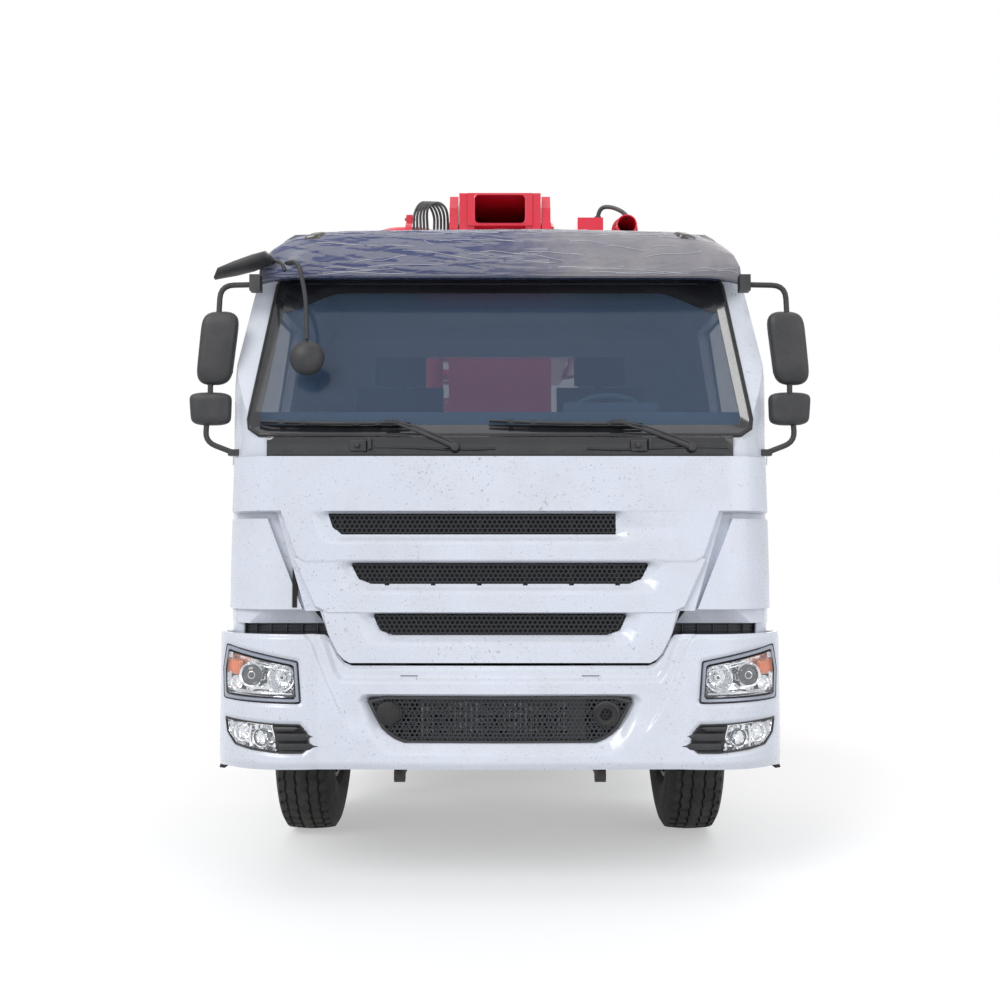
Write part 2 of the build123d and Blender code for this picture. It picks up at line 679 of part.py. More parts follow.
def bumper_body(inset):
    """The bumper's outer form, shrunk by an inset: front outline crossed with the plan outline."""
    i = inset
    with BuildPart() as body:
        outline = [
            (1190 - i, BUMPER_LOW + i * 0.9),
            (BUMPER_HALF - 8 - i, 546 + i),
            (BUMPER_HALF - i, 900),
            (1246 - i, BUMPER_CORNER_TOP),
            (860, BUMPER_CORNER_TOP),
            (770, 1090),
            (690, 1015),
            (640, BUMPER_TOP),
        ]
        extrude(front_face(mirrored(outline), 0), amount=-BUMPER_BACK)
        extrude(bumper_plan(i, 500), amount=700, mode=Mode.INTERSECT)
    return body.part


HEADLAMP = [(1229, 1078), (865, 1020), (851, 863), (1231, 853)]
FOG_LAMP = [(1214, 749), (779, 742), (800, 662), (1190, 646)]
LOWER_GRILLE = mirrored([(556, 862), (441, 681)])

with BuildPart() as front_bumper:
    add(bumper_body(0))
    extrude(bumper_plan(BUMPER_WALL, BUMPER_LOW + BUMPER_WALL), amount=900, mode=Mode.SUBTRACT)
    for side in (1, -1):
        for outline in (HEADLAMP, FOG_LAMP):
            extrude(front_face([(side * x, z) for x, z in outline], 0), amount=-420, mode=Mode.SUBTRACT)
        block(sorted((side * BUMPER_SPLIT, side * (BUMPER_SPLIT + GAP))), (-50, BUMPER_BACK + 50), (500, 1200),
              mode=Mode.SUBTRACT)
    extrude(front_face(LOWER_GRILLE, 0), amount=-200, mode=Mode.SUBTRACT)
    extrude(front_face(mirrored([(1180, 500), (1180, 640)]), 540), amount=-300, mode=Mode.SUBTRACT)
finish("front_bumper", front_bumper)

# Ladder frame: two channel rails and cross members, with the bumper's horns and the cab's tilt brackets
with BuildPart() as chassis_frame:
    def rail(side):
        out = side * RAIL_OUT
        for z in ((RAIL_LOW, RAIL_LOW + RAIL_WEB), (RAIL_TOP - RAIL_WEB, RAIL_TOP)):
            block(sorted((out, side * (RAIL_OUT - RAIL_FLANGE))), (RAIL_START, RAIL_END), z)
        block(sorted((out, side * (RAIL_OUT - RAIL_WEB))), (RAIL_START, RAIL_END), (RAIL_LOW, RAIL_TOP))

    sides(rail)
    for place in (RAIL_START + 40, 2350, 3400, 4500, 5700, 6775, 8100, 9200, RAIL_END - 40):
        block((-RAIL_OUT + RAIL_WEB / 2, RAIL_OUT - RAIL_WEB / 2), (place - 40, place + 40),
              (RAIL_LOW + 60, RAIL_TOP - 60))

    def front_bracket(side):
        # the horn that the bumper sits on, and the plate with the pin that the cab tilts about
        x_low, x_high = sorted((side * 352, side * 428))
        with BuildPart(mode=Mode.PRIVATE) as horn:
            block((x_low, x_high), (40, RAIL_START - GAP), (880, 960))
            extrude(bumper_plan(BUMPER_WALL + GAP, 800), amount=300, mode=Mode.INTERSECT)
        add(horn.part)
        plate = [(133, 1127), (150, 1172), (470, 1110), (470, RAIL_TOP + GAP), (260, RAIL_TOP + GAP)]
        with BuildPart(mode=Mode.PRIVATE) as tilt_plate:
            extrude(side_face(plate, side * 360), amount=side * 60)
            across(TILT_R, sorted((side * 360, side * 450)), *TILT_AXIS)
        add(tilt_plate.part)

    sides(front_bracket)
finish("chassis_frame", chassis_frame)

# Lamp clusters: four curved slabs that fill the bumper's pockets
with BuildPart() as lamps:
    add(bumper_body(4))
    add(bumper_body(BUMPER_WALL), mode=Mode.SUBTRACT)
    extrude(bumper_plan(BUMPER_WALL, 300), amount=1200, mode=Mode.SUBTRACT)
    with BuildPart(mode=Mode.PRIVATE) as windows:
        for side in (1, -1):
            for outline in (HEADLAMP, FOG_LAMP):
                with BuildSketch(Plane.XZ.offset(-at(0))) as pane:
                    with BuildLine():
                        Polyline(*[(side * x, z) for x, z in outline], close=True)
                    make_face()
                    offset(amount=-GAP, kind=Kind.INTERSECTION)
                extrude(pane.sketch, amount=-420)
    add(windows.part, mode=Mode.INTERSECT)
finish("lamps", lamps)

# Lower grille and radiator core behind it, with the tow socket
with BuildPart() as bumper_grille:
    with BuildSketch(Plane.XZ.offset(-at(16))) as grille_face:
        with BuildLine():
            Polyline(*LOWER_GRILLE, close=True)
        make_face()
        offset(amount=-GAP, kind=Kind.INTERSECTION)
    extrude(grille_face.sketch, amount=-14)
    block((-545, 545), (66, 112), (625, 872))
    block((-400, 400), (28, 70), (690, 850))
    lengthwise(42, 454, (6, 40), 790)
finish("bumper_grille", bumper_grille)

# Pedestal under the turret, with the front outrigger pivots
with BuildPart() as pedestal:
    block((-560, 560), (2620, 3980), (RAIL_TOP + GAP, RING_Z))
    with Locations((0, at(3300), (RAIL_TOP + RING_Z) / 2)):
        Box(1060, 1300, RING_Z - RAIL_TOP - 60, mode=Mode.SUBTRACT)
    upright(RING_R, 0, TURRET, (RING_Z, RING_Z + RING_H))
    for z in ((OUT_LOW - 30, OUT_LOW - SWING), (OUT_TOP + SWING, OUT_TOP + 30)):
        for side in (1, -1):
            outline = [(540, 2640), (880, 2640), (950, 2700), (950, 2820), (880, 2890), (540, 3100)]
            extrude(plan_face([(side * x, b) for x, b in outline], z[0]), amount=z[1] - z[0])
    for side in (1, -1):
        block(sorted((side * 545, side * 600)), (2640, 3100), (OUT_LOW - 30, OUT_TOP + 30))
        upright(45, side * FRONT_PIVOT[1], FRONT_PIVOT[0], (OUT_LOW - 30, OUT_TOP + 30))
    upright(PIPE_R + 30, 0, TURRET, (RING_Z - 40, RING_Z + RING_H + 5), mode=Mode.SUBTRACT)
    lengthwise(PIPE_R + 10, 0, (3900, 4000), 1170, mode=Mode.SUBTRACT)
finish("pedestal", pedestal)


def run_of_pipe(points, bend=BEND_R, radius=PIPE_R, bore=PIPE_BORE):
    """A hollow pipe with round bends through (X, distance behind the bumper, Z) points."""
    with BuildPart() as pipe:
        with BuildLine() as path:
            FilletPolyline(*[(x, at(b), z) for x, b, z in points], radius=bend)
        start = path.line @ 0
        with BuildSketch(Plane(origin=start, z_dir=path.line % 0)) as ring:
            Circle(radius)
            Circle(bore, mode=Mode.SUBTRACT)
        sweep(ring.sketch, path=path.line)
    return pipe.part


# Deck: one subframe with the rear outrigger brackets, two side decks and the posts that carry them
with BuildPart() as deck:
    for side in (1, -1):
        block(sorted((side * 350, side * 430)), (4000, RAIL_END), (RAIL_TOP + GAP, SUBFRAME_TOP))
        for z in ((OUT_LOW - 30, OUT_LOW - SWING), (OUT_TOP + SWING, OUT_TOP + 30)):
            outline = [(600, 9300), (960, 9930), (970, 10160), (900, 10200), (600, 10200)]
            extrude(plan_face([(side * x, b) for x, b in outline], z[0]), amount=z[1] - z[0])
        upright(45, side * REAR_PIVOT[1], REAR_PIVOT[0], (OUT_LOW - 30, OUT_TOP + 30))
        block(sorted((side * 600, side * 640)), (9300, 10200), (OUT_LOW - 30, OUT_TOP + 30))
    for place in (5000, 6500, 7900):
        block((-390, 390), (place, place + 80), (1100, 1200))
    block((-640, 640), (9300, RAIL_END), (RAIL_TOP + GAP + 30, SUBFRAME_TOP + 30))
    with Locations((0, at(9470), 1170)):
        Cylinder(PIPE_R + 12, 900, rotation=(90, 0, 0), mode=Mode.SUBTRACT)
    for place in (5000, 6500, 7900):
        lengthwise(PIPE_R + 8, 0, (place - 10, place + 90), 1170, mode=Mode.SUBTRACT)
    for side in (1, -1):
        with BuildPart(mode=Mode.PRIVATE) as side_deck:
            block(sorted((side * CHANNEL_HALF, side * DECK_HALF)), (DECK_START, DECK_END),
                  (DECK_TOP - DECK_T, DECK_TOP))
            block(sorted((side * (DECK_HALF - 12), side * DECK_HALF)), (DECK_START, DECK_END),
                  (DECK_TOP - 60, DECK_TOP))
            for place in DECK_BARS:
                block(sorted((side * (CHANNEL_HALF - 10), side * (DECK_HALF - 5))), (place, place + 60),
                      (DECK_TOP - 55, DECK_TOP - 5))
        add(side_deck.part)
        for place in DECK_BARS:
            block(sorted((side * 350, side * (CHANNEL_HALF - 10 - GAP))), (place, place + 60),
                  (SUBFRAME_TOP + GAP, DECK_TOP - 5))
finish("deck", deck)

# Boom rest: an A frame on the subframe with a flat top
with BuildPart() as boom_rest:
    for side in (1, -1):
        outline = [(352, SUBFRAME_TOP + GAP), (428, SUBFRAME_TOP + GAP), (300, REST_TOP - 10), (240, REST_TOP - 10)]
        extrude(front_face([(side * x, z) for x, z in outline], REST_AT - 40), amount=-80)
    block((-300, 300), (REST_AT - 50, REST_AT + 50), (REST_TOP - 30, REST_TOP))
    block((-345, 345), (REST_AT - 30, REST_AT + 30), (2300, 2360))
finish("boom_rest", boom_rest)

# Side tanks between the axles: fuel on the left, battery box and air tanks on the right
with BuildPart() as fuel_tank:
    block((RAIL_OUT + GAP, 1180), (2420, 3650), (520, 1020))
    with BuildPart(mode=Mode.PRIVATE) as room:
        block((RAIL_OUT + 20, 1160), (2440, 3630), (540, 1000))
    add(room.part, mode=Mode.SUBTRACT)
    upright(60, 1000, 2600, (1015, 1045))
finish("fuel_tank", fuel_tank)

with BuildPart() as side_boxes:
    block((-1180, -RAIL_OUT - GAP), (2420, 3150), (540, 1010))
    for z in (640, 880):
        lengthwise(115, -900, (3200, 4400), z)
        block((-900, -RAIL_OUT - GAP), (3180, 3220), (z - 60, z + 60))
        block((-900, -RAIL_OUT - GAP), (4300, 4340), (z - 60, z + 60))
    block((-790, -RAIL_OUT - GAP), (3140, 3230), (600, 900))
    block((RAIL_OUT + GAP, 1160), (3750, 4900), (560, 1000))
finish("side_boxes", side_boxes)

# Mudguards: flat topped arches over the front wheels and canopies over the bogie
FRONT_ARCH = [(850, 780), (880, 1060), (950, 1140), (2050, 1140), (2130, 1070), (2180, 620)]
REAR_ARCH = [(5470, 760), (5520, 1040), (5640, 1128), (7910, 1128), (8030, 1040), (8080, 760)]
with BuildPart() as mudguards:
    for arch, x_low in ((FRONT_ARCH, 560), (REAR_ARCH, 600)):
        inner = [(b, z - 12) if 0 < i < len(arch) - 1 else (b, z) for i, (b, z) in enumerate(arch)]
        inner = [(b + 12, z) if i < len(arch) / 2 else (b - 12, z) for i, (b, z) in enumerate(inner)]
        outline = arch + inner[::-1]
        for side in (1, -1):
            extrude(side_face(outline, side * x_low), amount=side * (1238 - x_low))
    for place in (1300, 5700, 6775, 7800):
        for side in (1, -1):
            block(sorted((side * (RAIL_OUT + GAP), side * 620)), (place - 30, place + 30), (1100, 1132))
            block(sorted((side * (RAIL_OUT + GAP), side * (RAIL_OUT + 20))), (place - 30, place + 30), (960, 1120))
finish("mudguards", mudguards)

# Hydraulic tank, water tank and tool boxes on the deck
with BuildPart() as deck_tanks:
    for x_low, x_high, start, end, top in (
        (-1150, -460, 4560, 5560, 2250),
        (460, 1150, 4560, 5760, 2150),
        (-1150, -700, 5700, 7500, 1900),
        (700, 1150, 6000, 7700, 1860),
    ):
        block((x_low, x_high), (start, end), (DECK_TOP + GAP, top))
finish("deck_tanks", deck_tanks)

# Concrete pump: hydraulic and material cylinders, water box, and the delivery line under it
with BuildPart() as pump_unit:
    for x in (-150, 150):
        lengthwise(62, x, (6300, 7900), 1400)
        lengthwise(112, x, (8080, 9655), 1400)
        lengthwise(74, x, (6240, 6300), 1400)
    block((-300, 300), (7880, 8100), (1262, 1530))
    for place in (6400, 7100, 8600, 9050):
        block((-429, 429), (place - 25, place + 25), (SUBFRAME_TOP + GAP, 1300))
        block((-260, 260), (place - 25, place + 25), (1290, 1400))
    add(run_of_pipe([(0, 9655, 1170), (0, TURRET, 1170), (0, TURRET, 1500)]))
    block((-40, 40), (7960, 8020), (1235, 1270))
finish("pump_unit", pump_unit)

# Hopper: open tub with a rim, agitator shaft and rear flap
HOP = (9660.0, 10900.0)
with BuildPart() as hopper:
    outer = mirrored([(760, 1600), (760, 1480), (560, 1392), (520, 1040), (400, 780)])
    inner = mirrored([(742, 1620), (742, 1490), (542, 1402), (502, 1048), (386, 798)])
    extrude(front_face(outer, HOP[0] + 6), amount=-(HOP[1] - HOP[0] - 6))
    extrude(front_face(inner, HOP[0] + 24), amount=-(HOP[1] - HOP[0] - 42), mode=Mode.SUBTRACT)
    rear = [(10500, 700), (10950, 700), (10950, 1180), (10880, 1180)]
    extrude(side_face(rear, -800), amount=1600, mode=Mode.SUBTRACT)
    ramp = [(10485, 790), (10505, 790), (10898, 1186), (10898, 1215)]
    extrude(side_face(ramp, -490), amount=980)
    across(30, (-530, 530), 10250, 1000)
    across(56, (-620, -530), 10250, 1000)
    lengthwise(PIPE_R, 0, (HOP[0] - 4, HOP[0] + 40), 1170)
finish("hopper", hopper)

# Hinged grate over the hopper
with BuildPart() as hopper_grate:
    block((-735, 735), (9700, 9730), (1605, 1635))
    block((-735, 735), (10850, 10880), (1605, 1635))
    for x in range(-720, 721, 120):
        block((x - 6, x + 6), (9700, 10880), (1608, 1632))
    for place in range(9860, 10850, 140):
        block((-735, 735), (place - 6, place + 6), (1610, 1630))
    for x in (-500, 500):
        across(14, (x - 60, x + 60), 9690, 1620)
finish("hopper_grate", hopper_grate)

# Rear under-run bar with the tail lamps, hung from the hopper's frame
with BuildPart() as rear_bar:
    block((-1180, 1180), (10620, 10690), (520, 600))
    for side in (1, -1):
        block(sorted((side * 560, side * 598)), (9900, 10680), (600, 700))
        block(sorted((side * 560, side * 598)), (9900, 9980), (690, OUT_LOW - 30 - GAP))
        block(sorted((side * 560, side * 640)), (9900, 9980), (1000, OUT_LOW - 30 - GAP))
        block(sorted((side * 800, side * 1150)), (10700, 10740), (560, 680))
        block(sorted((side * 900, side * 1000)), (10660, 10710), (560, 620))
finish("rear_bar", rear_bar)

# Turret: base plate, two side plates, front plate and the riser pipe
with BuildPart() as turret:
    upright(560, 0, TURRET, (RING_Z + RING_H + GAP, 1450))
    cheek = [(2960, 1440), (3770, 1440), (3770, 1680), (3560, 1900), (3400, 2900), (3336, 3230), (3250, 3360)]
    cheek = cheek + [(3060, 3360), (2965, 3240), (2940, 3000)]
    for side in (1, -1):
        extrude(side_face(cheek, side * FORK_IN), amount=side * (FORK_OUT - FORK_IN))
    block((-FORK_IN - 5, FORK_IN + 5), (2945, 3000), (1440, 2900))
    block((-FORK_IN - 5, FORK_IN + 5), (2960, 3400), (2860, 2900))
    across(60, (-FORK_IN - 5, -70), 3650, 1600)
    across(60, (70, FORK_IN + 5), 3650, 1600)
    across(40, (-80, 80), 3650, 1600)
    across(PIN_R + GAP, (-400, 400), *PIVOT_1, mode=Mode.SUBTRACT)
    upright(PIPE_R + 30, 0, TURRET, (1380, 1460), mode=Mode.SUBTRACT)
    add(run_of_pipe([
        (0, TURRET, 1500 + GAP),
        (0, TURRET, 1720),
        (-PIPE_IN, TURRET, 1720),
        (-PIPE_IN, PIVOT_1[0], 2100),
        (-PIPE_IN, PIVOT_1[0], PIVOT_1[1]),
        (-PIPE_MID, PIVOT_1[0], PIVOT_1[1]),
    ]))
    across(CLAMP_R, (-PIPE_MID - 23, -PIPE_MID + 23), *PIVOT_1)
    across(PIPE_BORE, (-PIPE_MID - 30, -PIPE_MID + 30), *PIVOT_1, mode=Mode.SUBTRACT)
    across(PIPE_R + GAP, (-PIPE_MID - 30, -PIPE_MID), *PIVOT_1, mode=Mode.SUBTRACT)
    block((-PIPE_IN + 40, -FORK_OUT + 10), (PIVOT_1[0] - 30, PIVOT_1[0] + 30), (2500, 2560))
finish("turret", turret)


def boom_box(side_points, plan_points, root, wall=BOX_WALL):
    """A hollow arm: side outline crossed with plan outline, closed all round."""
    with BuildPart() as box:
        extrude(side_face(side_points, -1000), amount=2000)
        extrude(plan_face(plan_points, 2000), amount=3000, mode=Mode.INTERSECT)
        with BuildPart(mode=Mode.PRIVATE) as room:
            with BuildSketch(Plane.YZ.offset(-1000)) as side_view:
                with BuildLine():
                    Polyline(*[(at(b), z) for b, z in side_points], close=True)
                make_face()
                offset(amount=-wall, kind=Kind.INTERSECTION)
            extrude(side_view.sketch, amount=2000)
            with BuildSketch(Plane.XY.offset(2000)) as plan_view:
                with BuildLine():
                    Polyline(*[(x, at(b)) for x, b in plan_points], close=True)
                make_face()
                offset(amount=-wall, kind=Kind.INTERSECTION)
            extrude(plan_view.sketch, amount=3000, mode=Mode.INTERSECT)
        add(room.part, mode=Mode.SUBTRACT)
    return box.part


def hinge_cheeks(points, pivot):
    """Two outer fork plates with a bore for the next arm's pin."""
    for side in (1, -1):
        extrude(side_face(points, side * FORK_IN), amount=side * (FORK_OUT - FORK_IN))
    across(PIN_R + GAP, (-400, 400), *pivot, mode=Mode.SUBTRACT)


def hinge_pin(pivot, left, right):
    """The pin and its side washers, part of the arm that turns."""
    across(PIN_R, (-right, left), *pivot)
    for side in (1, -1):
        across(90, sorted((side * 220, side * (FORK_IN - GAP))), *pivot)


def lever(pivot, toward):
    """The crank plate outside the fork that a cylinder's rod turns."""
    direction = 1 if toward > pivot[0] else -1
    points = [(0, 95), (LEVER, 58), (LEVER + 50, 0), (LEVER, -58), (0, -95), (-80, -50), (-80, 50)]
    outline = [(pivot[0] + direction * b, pivot[1] + z) for b, z in points]
    extrude(side_face(outline, LEVER_X[0]), amount=LEVER_X[1] - LEVER_X[0])


def fixed_barrel(pivot, toward, low, high):
    """A cylinder barrel fixed beside an arm, with its bore open towards the hinge."""
    direction = 1 if toward > pivot[0] else -1
    near = pivot[0] + direction * (LEVER + 75)
    far = near + direction * BARREL_LONG
    lengthwise(BARREL_R, ROD_X, sorted((near, far)), pivot[1])
    for place in (near + direction * 120, far - direction * 120):
        block((200, ROD_X), sorted((place - 40, place + 40)), (low, high))
    lengthwise(ROD_R + 4, ROD_X, sorted((near - direction * 10, far - direction * 20)), pivot[1],
               mode=Mode.SUBTRACT)


def sliding_rod(pivot, toward):
    """The rod with its eye, for a barrel fixed beside an arm."""
    direction = 1 if toward > pivot[0] else -1
    eye = pivot[0] + direction * LEVER
    lengthwise(ROD_R, ROD_X, sorted((eye + direction * 30, eye + direction * (BARREL_LONG - 110))), pivot[1])
    across(55, (ROD_X - 34, ROD_X + 34), eye, pivot[1])
    across(26, (LEVER_X[1], 500), eye, pivot[1], mode=Mode.SUBTRACT)


def swivel(pivot, sign=-1):
    """A clamp ring over two pipe ends that turn on each other, fixed to the pipe nearer the middle."""
    middle = sign * PIPE_MID
    across(CLAMP_R, sorted((middle - 23, middle + 23)), *pivot)
    across(PIPE_BORE, sorted((middle - 30, middle + 30)), *pivot, mode=Mode.SUBTRACT)
    across(PIPE_R + GAP, sorted((middle, middle + sign * 30)), *pivot, mode=Mode.SUBTRACT)


def bracket(x_low, x_high, back, z_low, z_high):
    """A flat strap that carries a pipe beside an arm."""
    block((x_low, x_high), (back - 20, back + 20), (z_low, z_high))


# Arm 1: from the turret back over the truck
with BuildPart() as boom_1:
    side_points = [(3010, 3090), (3130, 3020), (3350, 3005), (9940, 3190), (9940, 3400), (3300, 3400), (3010, 3330)]
    plan_points = mirrored([(225, 3005), (225, 8600), (FORK_IN, 9300), (FORK_IN, 9945)])
    add(boom_box(side_points, plan_points, 3010))
    hinge_cheeks([(9350, 3260), (9600, 3195), (9940, 3195), (10300, 3240), (10460, 3330), (10495, 3470),
                  (10420, 3590), (10300, 3628), (10160, 3580), (9900, 3405), (9600, 3400)], PIVOT_2)
    hinge_pin(PIVOT_1, 372, 372)
    # the lugs of the main cylinder are plates of their own, set on the arm's slanted underside
    underside = (3190 - 3005) / (9940 - 3350)
    lug_top = [(b, 3005 + (b - 3350) * underside - GAP) for b in (3850, 4070)]
    for side in (1, -1):
        extrude(side_face([*lug_top, (4010, 2820), (3890, 2820)], side * 60), amount=side * 40)
    add(run_of_pipe([
        (-PIPE_MID - GAP, PIVOT_1[0], PIVOT_1[1]),
        (-PIPE_OUT, PIVOT_1[0], PIVOT_1[1]),
        (-PIPE_OUT, PIVOT_2[0], PIVOT_2[1]),
        (-PIPE_MID - GAP, PIVOT_2[0], PIVOT_2[1]),
    ]))
    for place in (3700, 5400, 7100, 8800):
        z = PIVOT_1[1] + (place - PIVOT_1[0]) / (PIVOT_2[0] - PIVOT_1[0]) * (PIVOT_2[1] - PIVOT_1[1])
        bracket(-PIPE_OUT + 66, -215, place, z - 35, z + 5)
    fixed_barrel(PIVOT_2, 9000, 3330, 3398)
finish("boom_1", boom_1)

# Arm 2: forward above arm 1
with BuildPart() as boom_2:
    side_points = [(10480, 3460), (10480, 3690), (10440, 3720), (3530, 3720), (3530, 3480), (9900, 3440), (10420, 3440)]
    plan_points = mirrored([(225, 10485), (225, 4900), (FORK_IN, 4300), (FORK_IN, 3525)])
    add(boom_box(side_points, plan_points, 10485))
    for side in (1, -1):
        extrude(side_face([(10080, 3445), (10190, 3330), (10300, 3295), (10410, 3340), (10480, 3450), (10480, 3600),
                           (10080, 3600)], side * 175), amount=side * 50)
    hinge_pin(PIVOT_2, LEVER_X[1], 372)
    lever(PIVOT_2, 9000)
    hinge_cheeks([(4050, 3660), (3900, 3500), (3530, 3485), (3170, 3550), (3020, 3640), (2972, 3745), (3000, 3900),
                  (3060, 3998), (3330, 3998), (3420, 3880), (3600, 3722), (4050, 3715)], PIVOT_3)
    add(run_of_pipe([
        (-PIPE_MID, PIVOT_2[0], PIVOT_2[1]),
        (-PIPE_IN, PIVOT_2[0], PIVOT_2[1]),
        (-PIPE_IN, PIVOT_3[0], PIVOT_3[1]),
        (-PIPE_MID, PIVOT_3[0], PIVOT_3[1]),
    ]))
    for place in (4700, 6200, 7700, 9200):
        z = PIVOT_3[1] + (place - PIVOT_3[0]) / (PIVOT_2[0] - PIVOT_3[0]) * (PIVOT_2[1] - PIVOT_3[1])
        bracket(-PIPE_IN + 66, -215, place, z - 20, z + 20)
    swivel(PIVOT_2)
    swivel(PIVOT_3)
    fixed_barrel(PIVOT_3, 4000, 3650, 3718)
finish("boom_2", boom_2)

# Arm 3: backward above arm 2, with its root box open to the front
with BuildPart() as boom_3:
    side_points = [(2950, 3762), (9700, 3762), (9700, 3900), (3900, 3990), (2950, 3990)]
    plan_points = mirrored([(225, 2945), (225, 5200), (170, 9705)])
    add(boom_box(side_points, plan_points, 2950))
    block((-173, 173), (2940, 3010), (3776, 3976), mode=Mode.SUBTRACT)
    ear = [(2960, 3700), (3000, 3620), (3170, 3580), (3330, 3620), (3420, 3780), (3400, 3995), (2970, 3995)]
    mouth = [(2960, 3770), (3000, 3600), (3170, 3560), (3330, 3600), (3400, 3770), (3400, 3900), (2960, 3900)]
    for side in (1, -1):
        extrude(side_face(mouth, side * 175), amount=side * 50)
        extrude(side_face(ear, side * 225), amount=side * 57)
    hinge_pin(PIVOT_3, LEVER_X[1], 372)
    lever(PIVOT_3, 4000)
    for side in (1, -1):
        tip = [(9500, 3765), (9700, 3765), (9850, 3728), (9955, 3790), (9955, 3880), (9850, 3942), (9700, 3898)]
        extrude(side_face(tip, side * 130), amount=side * 60)
    across(85, (-230, 522), *PIVOT_4)
    across(108, (-190, 300), *PIVOT_4)
    add(run_of_pipe([
        (-PIPE_MID - GAP, PIVOT_3[0], PIVOT_3[1]),
        (-PIPE_OUT, PIVOT_3[0], PIVOT_3[1]),
        (-PIPE_OUT, PIVOT_4[0], PIVOT_4[1]),
        (765, PIVOT_4[0], PIVOT_4[1]),
    ]))
    across(PIPE_BORE, (-600, 780), *PIVOT_4, mode=Mode.SUBTRACT)
    for place in (3900, 5600, 7300, 9000):
        z = PIVOT_3[1] + (place - PIVOT_3[0]) / (PIVOT_4[0] - PIVOT_3[0]) * (PIVOT_4[1] - PIVOT_3[1])
        bracket(-PIPE_OUT + 30, -165, place, z + 52, z + 84)
finish("boom_3", boom_3)

# Arm 4: the tip, folded forward beside arm 3 on the left, with the end of the line
with BuildPart() as boom_4:
    side_points = [(9955, 3760), (9955, 3900), (9900, 3940), (9780, 3930), (9550, 3863), (3100, 3863), (3100, 3700),
                   (9550, 3650), (9800, 3720)]
    plan_points = [(530, 9960), (740, 9960), (740, 6000), (725, 3090), (545, 3090), (530, 6000)]
    add(boom_box(side_points, plan_points, 9950))
    across(104, (530, 740), *PIVOT_4)
    across(PIPE_R + GAP, (500, 800), *PIVOT_4, mode=Mode.SUBTRACT)
    with BuildPart(mode=Mode.PRIVATE) as line:
        add(run_of_pipe([
            (765 + GAP, PIVOT_4[0], PIVOT_4[1]),
            (PIPE_TIP, PIVOT_4[0], PIVOT_4[1]),
            (PIPE_TIP, 2950, 3770),
        ], bend=100))
        across(CLAMP_R, (742, 788), *PIVOT_4)
        across(PIPE_BORE, (730, 800), *PIVOT_4, mode=Mode.SUBTRACT)
        across(PIPE_R + GAP, (730, 765), *PIVOT_4, mode=Mode.SUBTRACT)
    add(line.part)
    for place in (3500, 5200, 6900, 8600):
        bracket(720, PIPE_TIP - 64, place, 3740 + (place - 3000) * 0.008, 3780 + (place - 3000) * 0.008)
finish("boom_4", boom_4)

# Main lifting cylinder between turret and arm 1
BASE_1 = (3650.0, 1600.0)
LUG_1 = (3950.0, 2890.0)
TILT_1 = degrees(atan2(LUG_1[1] - BASE_1[1], LUG_1[0] - BASE_1[0]))
REACH_1 = hypot(LUG_1[0] - BASE_1[0], LUG_1[1] - BASE_1[1])


def along_cylinder():
    """Frame at the base of the main cylinder with local Z along its stroke and local X across."""
    return Plane(origin=(0, at(BASE_1[0]), BASE_1[1]), x_dir=(1, 0, 0),
                 z_dir=(0, cos(radians(TILT_1)), sin(radians(TILT_1))))


with BuildPart() as cylinder_1_barrel:
    with Locations(along_cylinder()):
        with Locations((0, 0, 90)):
            Cylinder(95, REACH_1 - 190, align=(Align.CENTER, Align.CENTER, Align.MIN))
    across(75, (-60, 60), *BASE_1)
    across(40 + GAP, (-70, 70), *BASE_1, mode=Mode.SUBTRACT)
    with Locations(along_cylinder()):
        with Locations((0, 0, 120)):
            Cylinder(70, REACH_1, align=(Align.CENTER, Align.CENTER, Align.MIN), mode=Mode.SUBTRACT)
finish("cylinder_1_barrel", cylinder_1_barrel)

with BuildPart() as cylinder_1_rod:
    with Locations(along_cylinder()):
        with Locations((0, 0, 130)):
            Cylinder(52, REACH_1 - 150, align=(Align.CENTER, Align.CENTER, Align.MIN))
    across(66, (-54, 54), *LUG_1)
    across(48, (-60, 60), *LUG_1, mode=Mode.SUBTRACT)
finish("cylinder_1_rod", cylinder_1_rod)

for name, pivot, toward in (("cylinder_2_rod", PIVOT_2, 9000), ("cylinder_3_rod", PIVOT_3, 4000)):
    with BuildPart() as rod:
        sliding_rod(pivot, toward)
    finish(name, rod)

# Outriggers: swing arms with a leg sleeve, and the jack legs
for place, pivot, leg_at in (("front", FRONT_PIVOT, FRONT_LEG_AT), ("rear", REAR_PIVOT, REAR_LEG_AT)):
    for side_name, side in (("left", 1), ("right", -1)):
        direction = 1 if leg_at > pivot[0] else -1
        with BuildPart() as arm:
            run = [
                (pivot[1] - 110, pivot[0] - direction * 90),
                (pivot[1] + 110, pivot[0] - direction * 90),
                (LEG_X + 70, leg_at),
                (LEG_X - 70, leg_at),
            ]
            extrude(plan_face([(side * x, b) for x, b in run], OUT_LOW), amount=OUT_TOP - OUT_LOW)
            upright(92, side * LEG_X, leg_at, (720, OUT_TOP + 35))
            upright(76, side * LEG_X, leg_at, (700, OUT_TOP + 20), mode=Mode.SUBTRACT)
            upright(45 + GAP, side * pivot[1], pivot[0], (OUT_LOW - 10, OUT_TOP + 10), mode=Mode.SUBTRACT)
        finish(f"outrigger_{place}_{side_name}", arm)
        with BuildPart() as leg:
            upright(70, side * LEG_X, leg_at, (FOOT_Z, OUT_TOP + 10))
            upright(140, side * LEG_X, leg_at, (FOOT_Z - 40, FOOT_Z))
        finish(f"leg_{place}_{side_name}", leg)
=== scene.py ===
"""Looks of a truck-mounted concrete pump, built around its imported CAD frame.

Every length is in metres in the row's frame: -Y is forward, +X the truck's left side, +Z up.
Each sub-assembly is a dataclass with a build() method; main() runs them in order.
"""

from __future__ import annotations

